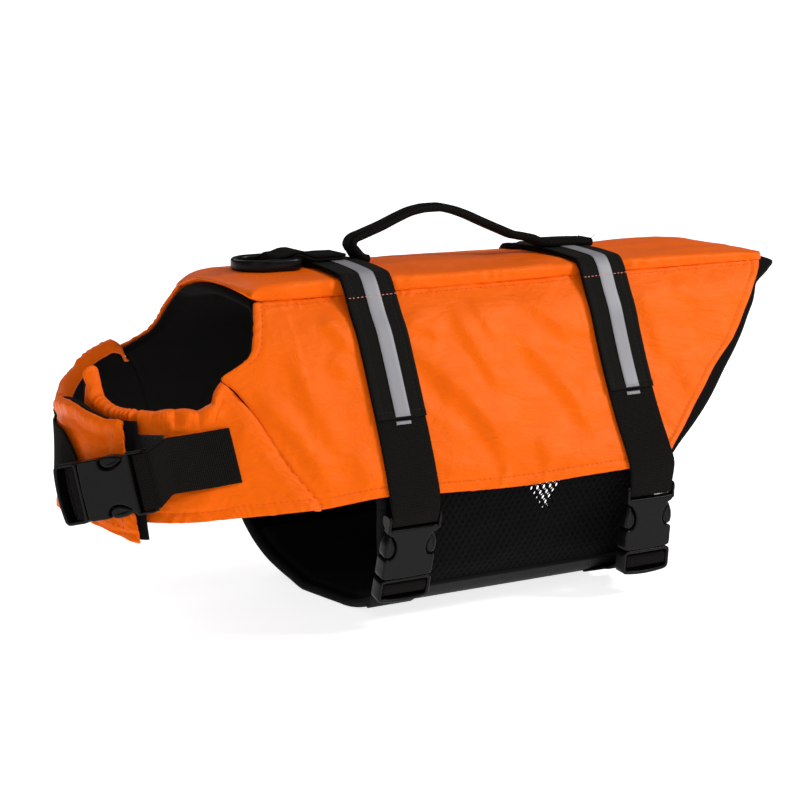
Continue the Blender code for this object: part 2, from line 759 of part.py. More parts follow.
def back_slab(name, collection):
    """Foam slab in its cloth along the spine: a loft of rounded sections."""
    rings = []
    for share in SLAB_SHARES:
        ring = []
        for kind, place in (
            [("right", angle) for angle in SLAB_ANGLES]
            + [("top", middle) for middle in SLAB_MIDDLE]
            + [("left", angle) for angle in SLAB_ANGLES[::-1]]
            + [("under", middle) for middle in SLAB_MIDDLE[::-1]]
        ):
            guess = SLAB_HALF_WIDTH * (place if kind in ("top", "under") else 1.0)
            guess = -guess if kind == "left" else guess
            front, rear = slab_ends(guess)
            x = front + (rear - front) * share
            if kind in ("top", "under"):
                y = guess
                z = slab_top(x, y, 0.0) if kind == "top" else slab_under(x, y) + CHORD_GAP
            else:
                y, z = slab_side(x, place, 0.0)
                y = -y if kind == "left" else y
            ring.append((x, y, float(z)))
        rings.append(ring)
    points = np.array(rings)
    rows, columns = points.shape[:2]
    faces = grid_faces(rows, columns, closed=True)
    faces.append(tuple(range(columns)))
    faces.append(tuple(range((rows - 1) * columns, rows * columns)))
    return add_object(name, mesh_of(name, points, faces), orange_cloth(), collection)


def belly_end(height, rear):
    """X of the belly's rear or front edge at a height."""
    return smooth(BELLY_ENDS, height, 2 if rear else 1)


def belly_mesh(name, side, collection):
    """Mesh cloth of one side of the belly, from inside the panel's hem to the padded base."""
    heights = [row[1] for row in BELLY_LEFT[: BASE_ROW + 1]]
    heights[-1] += MESH_FOOT
    points = []
    for share in BELLY_SHARES:
        column = []
        for k, height in enumerate(heights):
            front = belly_end(height, False) + BINDING_WIDTH + CHORD_GAP
            rear = belly_end(height, True) - BINDING_WIDTH - CHORD_GAP
            x = front + (rear - front) * share
            column.append(belly_wall(side, x, k, height))
        points.append(column)
    return sheet(name, np.array(points), (0.0, side, 0.0), CANVAS, black_mesh(), collection)


def belly_wall(side, x, row, height):
    """A point of the belly's wall at X on one row of its section."""
    if row < len(SEWN_DEPTHS):
        inside = -(COVER + SEAM_GAP + LINING + 2.0 * CHORD_GAP)
        return body_point(NOSE_START_X - x, SEWN_DEPTHS[row], inside, side)
    table = BELLY_LEFT if side < 0 else BELLY_RIGHT
    return np.array([x, side * table[row][0], height])


def belly_base(name, collection):
    """Padded base: a shallow trough with a flat underside."""
    rows = range(BASE_ROW, len(BELLY_LEFT))
    section = [(-BELLY_LEFT[k][0], BELLY_LEFT[k][1]) for k in rows]
    section += [(0.0, 0.0)] + [BELLY_RIGHT[k] for k in reversed(rows)]
    points = []
    for share in BELLY_SHARES:
        column = []
        for y, height in section:
            front = belly_end(height, False) + BINDING_WIDTH + CHORD_GAP
            rear = belly_end(height, True) - BINDING_WIDTH - CHORD_GAP
            column.append((front + (rear - front) * share, y, height))
        points.append(column)
    return sheet(name, np.array(points), (0.0, 0.0, -1.0), BASE, black_cloth(), collection)


def belly_binding(name, rear, collection):
    """Folded tape round one end of the belly, from hem to hem."""
    points = []
    for side, order in ((-1, range(len(BELLY_LEFT))), (1, range(len(BELLY_RIGHT) - 1, -1, -1))):
        for k in order:
            height = BELLY_LEFT[k][1]
            end = belly_end(height, rear)
            inner = end - BINDING_WIDTH if rear else end + BINDING_WIDTH
            points.append([belly_wall(side, x, k, height) for x in (min(end, inner), max(end, inner))])
    middle = len(BELLY_LEFT)
    end = belly_end(0.0, rear)
    inner = end - BINDING_WIDTH if rear else end + BINDING_WIDTH
    points.insert(middle, [np.array([x, 0.0, 0.0]) for x in (min(end, inner), max(end, inner))])
    return sheet(name, np.array(points), (0.0, 0.0, -1.0), BINDING, black_webbing(), collection)


# Straps.


def over_body(x, side, offset, depths):
    """Points on the garment at X, up one side from the lowest depth to the spine."""
    points = [body_point(NOSE_START_X - x, depth, offset, side) for depth in depths]
    for angle in SIDE_WALL:
        half, height = slab_side(x, angle, offset)
        points.append(np.array([x, side * half, float(height)]))
    for share in OVER_SLAB:
        y = side * share * SLAB_HALF_WIDTH
        points.append(np.array([x, y, float(slab_top(x, y, offset))]))
    return points


class Frame:
    """A buckle's own axes: across its width, along its length and out of its face."""

    def __init__(self, origin, along, out):
        self.origin = np.array(origin, float)
        self.along = np.array(along, float) / np.linalg.norm(along)
        across = np.cross(self.along, out)
        self.across = across / np.linalg.norm(across)
        self.out = np.cross(self.across, self.along)

    def at(self, across, along, out):
        """A point given in the buckle's axes."""
        return self.origin + across * self.across + along * self.along + out * self.out

    def matrix(self):
        """Placement of a solid that is modelled in the buckle's axes."""
        shift = Vector((self.origin - (CENTRE_X, CENTRE_Y, 0.0)) * MM)
        turn = Matrix([self.across.tolist(), self.along.tolist(), self.out.tolist()]).transposed()
        return Matrix.Translation(shift) @ turn.to_4x4()


FRONT_BUCKLE = Frame((FRONT_STRAP_X, -115.9, 86.3), (0.0, 0.286, -0.958), (0.0, -0.958, -0.286))
REAR_BUCKLE = Frame((REAR_STRAP_X - 3.0, -118.8, 83.2), (0.0, 0.1, -0.995), (0.0, -0.995, -0.1))
CHEST_BUCKLE = Frame((-254.1, -101.4, 132.6), (-0.49, 0.835, -0.25), (-0.862, -0.506, 0.0))


def strip_at(x, points):
    """Two columns of a strap lying across X, from points given on its middle."""
    half = 0.5 * WEBBING_WIDTH
    return [[point + (side * half, 0.0, 0.0) for side in (-1, 1)] for point in points]


def cross_strap(name, x, buckle, slide, collection):
    """Webbing from the buckle up the left side, over the back and down to the belly base."""
    half = 0.5 * WEBBING_WIDTH
    outer = CHORD_GAP + WEBBING
    hanging = [buckle.at(0.0, along, out) for along, out in FEMALE_LOOP[::-1]]
    rows = strip_at(0.0, hanging)
    left = [over_body(x + side * half, -1, outer, SIDE_DEPTHS) for side in (-1, 1)]
    right = [over_body(x + side * half, 1, outer, SIDE_DEPTHS) for side in (-1, 1)]
    rows += [[left[0][k], left[1][k]] for k in range(len(left[0]))]
    crest = [float(slab_top(x + side * half, 0.0, outer)) for side in (-1, 1)]
    rows.append([np.array([x + side * half, 0.0, crest[k]]) for k, side in enumerate((-1, 1))])
    rows += [[right[0][k], right[1][k]] for k in reversed(range(len(right[0])))]
    for y, height, shift in FAR_STRAP_END:
        rows += strip_at(0.0, [np.array([x + shift * slide, y, height])])
    points = np.array(rows)
    return sheet(name, points, (0.0, 0.0, 1.0), WEBBING, black_webbing(), collection)


def cross_band(name, x, collection):
    """Smooth hemmed band that lies on the webbing over the back, half way down each side."""
    half = 0.5 * WEBBING_WIDTH
    outer = CHORD_GAP + WEBBING + SEAM_GAP + BAND
    sides = {}
    for side in (-1, 1):
        sides[side] = [over_body(x + end * half, side, outer, BAND_DEPTHS) for end in (-1, 1)]
    rows = [[sides[-1][0][k], sides[-1][1][k]] for k in range(len(sides[-1][0]))]
    rows.append([np.array([x + s * half, 0.0, float(slab_top(x + s * half, 0.0, outer))]) for s in (-1, 1)])
    rows += [[sides[1][0][k], sides[1][1][k]] for k in reversed(range(len(sides[1][0])))]
    return sheet(name, np.array(rows), (0.0, 0.0, 1.0), BAND, black_cloth(), collection)


def belly_strap(name, x, buckle, sewn, collection):
    """Webbing sewn under the base and threaded through the male end's bar."""
    path = [np.array([x + shift, y, z]) for shift, y, z in sewn]
    path += [buckle.at(0.0, along, out) for along, out in MALE_LOOP]
    points = np.array(strip_at(0.0, path))
    return sheet(name, points, (0.0, -0.5, -1.0), WEBBING, black_webbing(), collection)


def ribbon(name, path, across, width, thickness, outward, material, collection):
    """A strap along a path, given with the direction of its width at each point."""
    rows = []
    for point, direction, wide in zip(path, across, np.broadcast_to(width, len(path))):
        direction = np.asarray(direction) / np.linalg.norm(direction)
        rows.append([point - 0.5 * wide * direction, point + 0.5 * wide * direction])
    return sheet(name, np.array(rows), outward, thickness, material, collection)


def flap_strap(name, side, route, loop, outward, collection):
    """Webbing sewn flat on a chest flap, then lifted to its end of the chest buckle.

    route gives, on the strap's middle: distance, depth and how far it stands off the flap.
    """
    half = 0.5 * WEBBING_WIDTH
    rows = []
    steps = 2 + int((route[-1][0] - route[0][0]) / STRAP_STEP)
    for distance in np.linspace(route[0][0], route[-1][0], steps):
        depth = float(smooth(route, distance))
        lift = float(smooth(route, distance, 2))
        row = []
        for share in (-1.0, 0.0, 1.0):
            place = distance - share * STRAP_SLANT * half
            low = depth + share * half
            raised = CHEST_GAP + WEBBING + lift
            if side > 0:
                raised += float(overlap_shift(place, low))
            row.append(body_point(place, low, raised, side))
        rows.append(row)
    down = -np.sign(CHEST_BUCKLE.across[2]) * half
    for along, out in loop:
        rows.append([CHEST_BUCKLE.at(share * down, along, out) for share in (-1.0, 0.0, 1.0)])
    return sheet(name, np.array(rows), outward, WEBBING, black_webbing(), collection)


# Hard pieces.


def cutter_box(name, size, centre, cutters):
    """A box that cuts or joins, in its own axes."""
    bpy.ops.mesh.primitive_cube_add(size=1.0)
    made = bpy.context.object
    made.name = name
    made.data.transform(Matrix.Diagonal((*[s * MM for s in size], 1.0)))
    made.data.transform(Matrix.Translation([c * MM for c in centre]))
    return as_cutter(made, cutters)


def cutter_round(name, radius, depth, centre, cutters, stretch=1.0):
    """An upright cylinder that cuts or joins, stretched along its second axis."""
    bpy.ops.mesh.primitive_cylinder_add(vertices=24, radius=radius * MM, depth=depth * MM)
    made = bpy.context.object
    made.name = name
    made.data.transform(Matrix.Diagonal((1.0, stretch, 1.0, 1.0)))
    made.data.transform(Matrix.Translation([c * MM for c in centre]))
    return as_cutter(made, cutters)


def cutter_oval(name, shape, side, depth, cutters):
    """An upright oval from its place across and along and its two half sizes."""
    across, along, half_width, half_length = shape
    centre = (side * across, along, 0.0)
    return cutter_round(name, half_width, depth, centre, cutters, half_length / half_width)


def as_cutter(made, cutters):
    """Moves an object to the cutters, shown as a wire and left out of renders."""
    for owner in made.users_collection:
        owner.objects.unlink(made)
    cutters.objects.link(made)
    made.hide_render = True
    made.display_type = "WIRE"
    return made


def cut(made, tool, operation="DIFFERENCE"):
    """Adds a Boolean of one tool to an object."""
    change = made.modifiers.new(tool.name, "BOOLEAN")
    change.operation = operation
    change.object = tool
    change.solver = "EXACT"


def block(name, size, centre, bevel, material, collection):
    """A box with rounded edges, in its own axes."""
    bpy.ops.mesh.primitive_cube_add(size=1.0)
    made = bpy.context.object
    made.name = name
    made.data.name = name
    made.data.transform(Matrix.Diagonal((*[s * MM for s in size], 1.0)))
    made.data.transform(Matrix.Translation([c * MM for c in centre]))
    for owner in made.users_collection:
        owner.objects.unlink(made)
    collection.objects.link(made)
    made.data.materials.append(material)
    if bevel:
        edge = made.modifiers.new("rounded edges", "BEVEL")
        edge.width = bevel * MM
        edge.segments = 2
    made.data.shade_smooth()
    made.data.set_sharp_from_angle(angle=CORNER_ANGLE)
    return made


def female_buckle(name, frame, parts, cutters):
    """Bar end, webbing slot, plate with two thumb windows and the pocket for the tongue."""
    length = FEMALE_END + BAR
    size = (BUCKLE_WIDTH, length, BUCKLE_THICKNESS)
    made = block(name, size, (0.0, 0.5 * length - BAR, 0.0), 1.6, black_plastic(), parts)
    slot = (SLOT_WIDTH, SLOT_END - BAR, 30.0)
    recess = (SLOT_WIDTH, 3.0 * BAR, 8.0)
    pocket_end = FEMALE_END + 1.0
    pocket = (TONGUE[0] + 1.0, TONGUE[1] + 1.5, TONGUE[2] + 1.0)
    prongs = (2.0 * (PRONG[0] + 3.0), pocket_end - WINDOW[1], TONGUE[2] + 1.6)
    tools = [
        cutter_box(f"{name}_slot", slot, (0.0, 0.5 * (SLOT_END + BAR), 0.0), cutters),
        cutter_box(f"{name}_recess_out", recess, (0.0, -0.5 * BAR, BAR + 4.0), cutters),
        cutter_box(f"{name}_recess_in", recess, (0.0, -0.5 * BAR, -BAR - 4.0), cutters),
        cutter_box(f"{name}_pocket", pocket, (0.0, pocket_end - 0.5 * pocket[1], 0.0), cutters),
        cutter_box(f"{name}_channel", prongs, (0.0, 0.5 * (pocket_end + WINDOW[1]), 0.0), cutters),
    ]
    for side in (-1, 1):
        tools.append(cutter_oval(f"{name}_window_{side}", WINDOW, side, 30.0, cutters))
    for tool in tools:
        tool.matrix_world = frame.matrix()
        cut(made, tool)
    made.matrix_world = frame.matrix()
    return made


def male_buckle(name, frame, parts, cutters):
    """Frame with two webbing slots, tongue and two prongs that fill the thumb windows."""
    start = FEMALE_END + SEAM_GAP
    length = MALE_END - start
    size = (BUCKLE_WIDTH - 0.8, length, BUCKLE_THICKNESS - 1.0)
    made = block(name, size, (0.0, start + 0.5 * length, 0.0), 2.2, black_plastic(), parts)
    inner, outer = start + 2.4, MALE_END - 2.6
    first = (SLOT_WIDTH, MALE_BAR - BAR - inner, 30.0)
    second = (SLOT_WIDTH, outer - MALE_BAR - BAR, 30.0)
    recess = (SLOT_WIDTH, outer - inner, 8.0)
    reach = start + 1.5 - PRONG[1]
    joined = [
        cutter_box(f"{name}_tongue", TONGUE, (0.0, start + 1.5 - 0.5 * TONGUE[1], 0.0), cutters),
    ]
    for side in (-1, 1):
        stem = (4.0, reach, TONGUE[2] + 0.6)
        at = (side * (PRONG[0] + 0.4), PRONG[1] + 0.5 * reach, 0.0)
        joined.append(cutter_box(f"{name}_stem_{side}", stem, at, cutters))
        joined.append(cutter_oval(f"{name}_prong_{side}", PRONG, side, TONGUE[2] + 3.4, cutters))
    tools = [
        cutter_box(f"{name}_slot_in", first, (0.0, 0.5 * (inner + MALE_BAR - BAR), 0.0), cutters),
        cutter_box(f"{name}_slot_out", second, (0.0, 0.5 * (outer + MALE_BAR + BAR), 0.0), cutters),
        cutter_box(f"{name}_over", recess, (0.0, 0.5 * (inner + outer), BAR + 4.0), cutters),
        cutter_box(f"{name}_under", recess, (0.0, 0.5 * (inner + outer), -BAR - 4.0), cutters),
    ]
    for tool in joined:
        tool.matrix_world = frame.matrix()
        cut(made, tool, "UNION")
    for tool in tools:
        tool.matrix_world = frame.matrix()
        cut(made, tool)
    made.matrix_world = frame.matrix()
    return made


def lead_ring(name, parts, cutters):
    """Plastic ring: a round lead hole, a cross bar and a webbing slot behind it."""
    outline = []
    corner = 8.0
    for k in range(13):
        a = math.radians(90.0 + 15.0 * k)
        outline.append((RING_LENGTH * 0.42 * (1.0 + math.cos(a)), RING_HALF_WIDTH * math.sin(a)))
    for sign in (-1, 1):
        for k in range(4):
            a = math.radians(30.0 * k if sign > 0 else -90.0 + 30.0 * k)
            x = RING_LENGTH - corner + corner * math.cos(a)
            outline.append((x, sign * (RING_HALF_WIDTH - 1.0 - corner) + corner * math.sin(a)))
    work = bmesh.new()
    low = -0.5 * RING_THICKNESS
    face = work.faces.new([work.verts.new((x * MM, y * MM, low * MM)) for x, y in outline])
    raised = bmesh.ops.extrude_face_region(work, geom=[face])
    moved = [v for v in raised["geom"] if isinstance(v, bmesh.types.BMVert)]
    bmesh.ops.translate(work, vec=(0.0, 0.0, RING_THICKNESS * MM), verts=moved)
    bmesh.ops.recalc_face_normals(work, faces=work.faces)
    mesh = bpy.data.meshes.new(name)
    work.to_mesh(mesh)
    work.free()
    made = add_object(name, mesh, black_plastic(), parts)
    edge = made.modifiers.new("rounded edges", "BEVEL")
    edge.width = 2.4 * MM
    edge.segments = 2
    straight = (7.0, 28.0, 30.0)
    slot = (RING_RIM - RING_BAR[1], 30.0, 30.0)
    under = (RING_RIM - RING_BAR[0] + 2.0, 30.0, 6.0)
    middle = 0.5 * (RING_BAR[1] + RING_RIM)
    hole = cutter_round(f"{name}_hole", RING_HOLE[1], 30.0, (RING_HOLE[0], 0.0, 0.0), cutters)
    tools = [
        hole,
        cutter_box(f"{name}_straight", straight, (RING_BAR[0] - 0.5 * straight[0], 0.0, 0.0), cutters),
        cutter_box(f"{name}_slot", slot, (middle, 0.0, 0.0), cutters),
        cutter_box(f"{name}_under", under, (RING_RIM - 0.5 * under[0], 0.0, RING_BAR_UNDER - 3.0), cutters),
    ]
    place = Matrix.Translation(((RING_FRONT_X - CENTRE_X) * MM, -CENTRE_Y * MM, RING_Z * MM))
    for tool in tools:
        tool.matrix_world = place
        cut(made, tool)
    made.matrix_world = place
    return made


def ring_webbing(name, collection):
    """Webbing sewn over the front strap and folded round the lead ring's cross bar."""
    path = [np.array([x, 0.0, z]) for x, z in RING_ROUTE]
    across = [(0.0, 1.0, 0.0)] * len(path)
    return ribbon(
        name, path, across, RING_WEBBING_WIDTH, WEBBING, (-1.0, 0.0, 0.0), black_webbing(), collection
    )


def handle(name, collection):
    """Folded webbing handle with a rounded front foot and a flat rear end."""
    rows = by_length(HANDLE_ROUTE)
    along = np.linspace(0.0, rows[-1, 0], HANDLE_STEPS)
    x, z, width = (smooth(rows, along, column) for column in (1, 2, 3))
    step = np.gradient(np.column_stack([x, z]), axis=0)
    step /= np.linalg.norm(step, axis=1)[:, None]
    lift = 0.5 * HANDLE_THICKNESS
    path = [np.array([x[k] - lift * step[k, 1], 0.0, z[k] + lift * step[k, 0]]) for k in range(len(x))]
    across = [(0.0, 1.0, 0.0)] * len(path)
    return ribbon(
        name, path, across, width, HANDLE_THICKNESS, (0.0, 0.0, 1.0), black_webbing(), collection
    )


def build():
    """Makes every piece of the jacket."""
    for obj in list(bpy.data.objects):
        bpy.data.objects.remove(obj, do_unlink=True)
    parts = collection_of("dog_life_jacket")
    cutters = collection_of("cutters")
    back_slab("back_slab", parts)
    lining_sheet("body_lining", parts)
    for label, side in (("left", -1), ("right", 1)):
        side_cover(f"side_cover_{label}", side, parts)
        flap_sheet(f"flap_cover_{label}", side, True, parts)
        flap_sheet(f"flap_lining_{label}", side, False, parts)
        belly_mesh(f"belly_mesh_{label}", side, parts)
    belly_base("belly_base", parts)
    belly_binding("belly_binding_front", False, parts)
    belly_binding("belly_binding_rear", True, parts)
    cross_strap("front_strap", FRONT_STRAP_X, FRONT_BUCKLE, FRONT_STRAP_SLIDE, parts)
    cross_strap("rear_strap", REAR_STRAP_X, REAR_BUCKLE, 0.0, parts)
    cross_band("front_band", FRONT_STRAP_X, parts)
    cross_band("rear_band", REAR_STRAP_X, parts)
    belly_strap("front_belly_strap", FRONT_STRAP_X, FRONT_BUCKLE, FRONT_SEWN, parts)
    belly_strap("rear_belly_strap", REAR_STRAP_X, REAR_BUCKLE, REAR_SEWN, parts)
    toward = ((CHEST_LEAD_IN, LOOP),) + FEMALE_LOOP
    flap_strap("chest_strap_left", -1, LEFT_STRAP_ROUTE, toward, (-0.5, -0.8, 0.1), parts)
    flap_strap("chest_strap_right", 1, RIGHT_STRAP_ROUTE, MALE_LOOP, (-0.9, 0.3, 0.0), parts)
    for label, frame in (("front", FRONT_BUCKLE), ("rear", REAR_BUCKLE), ("chest", CHEST_BUCKLE)):
        female_buckle(f"{label}_buckle_female", frame, parts, cutters)
        male_buckle(f"{label}_buckle_male", frame, parts, cutters)
    lead_ring("lead_ring", parts, cutters)
    ring_webbing("ring_webbing", parts)
    handle("handle", parts)


build()
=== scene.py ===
"""Dog life jacket, dressed: cloth shells over foam, webbing, tape, buckles, ring, studio.

Lengths in tables and fields are millimetres of the maker's pattern, where X = 0 lies
PATTERN_CENTRE ahead of the row frame's origin; meshes are written in metres of the row frame.
"""

import logging
import math
from dataclasses import dataclass
from enum import Enum

import bmesh
import bpy
import numpy as np
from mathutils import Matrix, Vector


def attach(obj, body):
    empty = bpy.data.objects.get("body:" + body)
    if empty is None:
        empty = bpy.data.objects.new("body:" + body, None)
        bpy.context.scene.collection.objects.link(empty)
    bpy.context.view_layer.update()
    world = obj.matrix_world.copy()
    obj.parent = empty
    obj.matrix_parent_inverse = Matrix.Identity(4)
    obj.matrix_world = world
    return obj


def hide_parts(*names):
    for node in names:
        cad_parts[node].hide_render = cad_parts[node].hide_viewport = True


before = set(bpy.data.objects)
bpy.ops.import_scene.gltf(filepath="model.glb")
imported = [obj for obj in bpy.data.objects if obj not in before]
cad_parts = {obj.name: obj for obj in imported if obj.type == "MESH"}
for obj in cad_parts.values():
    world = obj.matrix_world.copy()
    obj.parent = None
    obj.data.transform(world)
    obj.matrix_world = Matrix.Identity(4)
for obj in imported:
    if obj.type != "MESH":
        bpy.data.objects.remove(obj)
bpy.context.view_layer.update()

LOG = logging.getLogger("life_jacket")

MM = 0.001
PATTERN_CENTRE = (15.5, -0.4, 0.0)
CLOTH_MAP = "cloth"
SINGLE = "single"
WHITE = "#FFFFFF"
UP = (0.0, 0.0, 1.0)

# Gaps between layers, and how thick each layer is.
SEAM_GAP = 0.3
CHORD_GAP = 0.6
FLAP_LAYER_GAP = 0.8
COVER = 2.0
LINING = 6.5
FLAP_LINING = 5.0
WEBBING = 2.0
WEBBING_WIDTH = 38.0
BAND = 1.0

# The back slab, the sides' inward pinch and outward flare, and the chest's plan.
SLAB_HALF_WIDTH = 51.0
SLAB_SIDE = 13.0
SLAB_CENTRE = 9.2
SLAB_CROWN = 8.0
SLAB_ROUND = 4.5
SLAB_FRONT = -150.0
SLAB_NOSE = 3.5
SLAB_REAR = 299.0
SLAB_TAIL = 15.0
RIGHT_LEAD = 8.0
PINCH = 7.0
FLARE = 3.0
FLAP_HEM = 150.0
NOSE_START_X = -125.0
NOSE_HALF_WIDTH = 106.0
NOSE_LENGTH = 205.0
NOSE_LEAN = 0.15
OVERLAP_LIFT = 11.3
TUCK = 11.5
OVERLAP_START = 95.0
OVERLAP_END = 222.0
FRONT_STRAP_X = -59.5
REAR_STRAP_X = 144.8

# Half width, height; from the side seam down to the hem.
BODY_SECTION = (
    (51.0, 233.5), (68.5, 215.0), (81.5, 190.0), (92.0, 167.0), (106.0, 135.0), (116.0, 108.0),
    (119.5, 95.0), (122.0, 82.0),
)
# Depth below the seam, X of the side panel's front edge.
PANEL_FRONT = (
    (0.0, -154.6), (20.0, -159.4), (34.0, -163.5), (41.5, -168.6), (47.0, -178.0), (54.0, -190.0),
    (64.0, -181.0), (80.0, -170.0), (100.0, -160.0), (128.0, -145.0), (150.0, -131.0),
)
# Depth, X of the side panel's rear edge, how far the lining reaches past it.
PANEL_REAR = (
    (0.0, 297.0, 17.0), (5.0, 295.0, 14.0), (22.0, 283.0, 3.0), (43.0, 268.0, 2.5),
    (64.0, 251.0, 4.0), (82.5, 229.0, 8.5), (104.0, 207.0, 9.0), (125.0, 184.0, 7.5),
    (139.0, 167.0, 7.0), (146.0, 160.0, 5.0), (150.0, 151.0, 3.0),
)
# X, how much lower than its section the hem hangs.
PANEL_HEM = (
    (-131.0, 0.0), (-81.0, -2.5), (-38.0, 0.0), (36.0, 3.0), (90.0, 1.5), (150.0, 0.0),
)
# Distance forward round the chest, heading in degrees.
NOSE_HEADING = (
    (0.0, 4.0), (40.0, 7.0), (80.0, 12.0), (100.0, 26.0), (120.0, 43.0), (140.0, 59.0),
    (160.0, 72.0), (180.0, 82.0), (205.0, 90.0),
)
# Distance round the chest, depth of the left flap's upper edge, depth of its hem.
LEFT_FLAP = (
    (65.0, 54.0, 150.0), (71.0, 62.0, 150.0), (74.0, 70.0, 150.0), (84.0, 73.5, 150.5),
    (104.0, 71.5, 151.5), (124.0, 73.5, 152.0), (150.0, 73.0, 151.0), (172.0, 66.0, 150.0),
    (184.0, 46.0, 150.0),
)
# The same for the right flap.
RIGHT_FLAP = (
    (73.0, 54.0, 150.0), (76.5, 49.0, 150.0), (81.0, 46.0, 150.0), (87.0, 45.0, 150.0),
    (96.0, 48.0, 150.0), (108.0, 54.0, 150.0), (120.0, 65.0, 150.0), (132.0, 75.0, 150.0),
    (144.0, 81.0, 150.5), (156.0, 84.5, 151.0), (168.0, 83.0, 151.5), (184.0, 78.0, 152.0),
    (200.0, 73.0, 152.5), (216.0, 71.0, 153.0), (230.0, 72.0, 154.5), (244.0, 76.5, 157.0),
    (258.0, 79.5, 161.0), (269.0, 80.5, 164.5),
)
RIGHT_FLAP_SLANT = 17.0
RIGHT_FLAP_REACH = 3.5
FLAP_LINING_REACH = 8.0
NOWHERE = 99.0
# X, how far the arch sinks below its crown, share of the slab's full thickness.
SLAB_PROFILE = (
    (-166.0, 0.0, 0.24), (-158.0, 0.0, 0.38), (-150.0, 0.0, 0.66), (-143.0, 0.0, 0.86),
    (-138.0, 0.0, 0.94), (-130.0, 0.1, 1.0), (-60.0, 0.6, 0.94), (43.0, 1.6, 0.82),
    (143.0, 2.3, 0.76), (219.0, 2.8, 0.73), (262.0, 3.2, 0.7), (283.0, 3.9, 0.62),
    (300.0, 5.4, 0.48), (316.0, 7.4, 0.3),
)
# Half width, height of the belly's section on the left, from inside the hem down.
BELLY_LEFT = (
    (104.5, 108.0), (106.8, 97.0), (104.0, 76.0), (99.5, 56.0), (95.0, 40.0), (88.0, 26.0),
    (75.0, 15.5), (60.0, 8.4), (45.0, 3.6), (26.0, 0.0),
)
# The same on the right.
BELLY_RIGHT = (
    (104.5, 108.0), (107.8, 97.0), (112.0, 76.0), (114.0, 56.0), (111.0, 40.0), (100.5, 26.0),
    (83.0, 14.2), (63.0, 7.6), (45.0, 3.6), (26.0, 0.0),
)
# Height, X of the belly's front edge, X of its rear edge.
BELLY_ENDS = (
    (0.0, -64.0, 150.0), (15.0, -66.5, 154.0), (30.0, -70.0, 157.0), (60.0, -76.0, 160.0),
    (97.0, -81.0, 162.0), (108.0, -82.0, 162.0),
)
BINDING_WIDTH = 7.0
BINDING = 4.6
# X, height of the handle's underside, width of its webbing.
HANDLE_ROUTE = (
    (-31.0, 252.0, 20.0), (-34.0, 252.6, 20.0), (-37.0, 254.8, 19.0), (-40.0, 258.6, 17.0),
    (-42.8, 262.6, 16.0), (-40.8, 266.6, 15.0), (-32.5, 269.6, 14.5), (-16.2, 275.0, 14.0),
    (-2.3, 280.4, 13.5), (9.7, 284.2, 13.0), (21.8, 285.7, 13.0), (30.7, 285.7, 13.0),
    (42.1, 283.6, 13.0), (54.5, 279.5, 13.0), (71.1, 272.3, 13.5), (87.9, 265.2, 14.0),
    (99.0, 260.8, 15.0), (107.0, 259.2, 15.0), (114.0, 257.6, 18.0), (120.0, 255.0, 20.0),
    (127.0, 253.2, 20.0), (147.0, 252.6, 20.0), (167.0, 251.6, 20.0),
)
# X, height of the lead ring's webbing, from its lower sewn end round the bar.
RING_ROUTE = (
    (-54.0, 253.9), (-68.0, 254.2), (-78.0, 254.3), (-84.0, 256.2), (-88.6, 258.1),
    (-93.4, 258.2), (-95.4, 256.4), (-97.2, 252.8), (-99.4, 250.9), (-103.0, 250.7),
    (-106.4, 250.8), (-108.6, 252.0), (-109.2, 254.4), (-109.2, 257.6), (-108.3, 259.6),
    (-106.0, 260.4), (-102.0, 260.6), (-95.0, 262.5), (-88.0, 262.5), (-83.0, 260.6),
    (-77.0, 258.8), (-66.0, 258.6), (-53.0, 258.3),
)
RING_WEBBING_WIDTH = 26.0
SIDE_DEPTHS = (150.0, 138.0, 122.0, 106.0, 90.0, 74.0, 60.0, 46.0, 33.0, 20.0)
# Y, height, share of the strap's slide along X; right side, hem to base.
FAR_STRAP_END = (
    (122.6, 96.0, 0.0), (116.4, 86.0, 0.0), (115.4, 74.0, 0.1), (117.1, 56.0, 0.3),
    (113.7, 38.2, 0.5), (102.2, 23.2, 0.7), (84.5, 11.7, 0.85), (64.0, 5.0, 1.0),
)
FRONT_STRAP_SLIDE = 15.0
# Distance round the chest, depth, height off the flap.
LEFT_STRAP_ROUTE = (
    (63.0, 107.5, 0.0), (72.0, 108.2, 0.0), (81.0, 109.2, 0.6), (90.0, 110.2, 3.0),
    (98.0, 111.4, 7.5), (105.0, 112.6, 13.0),
)
# The same for the right chest strap.
RIGHT_STRAP_ROUTE = (
    (92.0, 108.0, 0.0), (110.0, 109.0, 0.0), (130.0, 110.0, 0.0), (150.0, 111.0, 0.0),
    (168.0, 111.5, 0.0), (184.0, 111.0, 0.0), (200.0, 110.0, 0.0), (214.0, 110.5, 0.5),
    (224.0, 112.0, 2.0),
)
STRAP_SLANT = 0.12
CHEST_GAP = 0.9
CHEST_LEAD_IN = -9.0

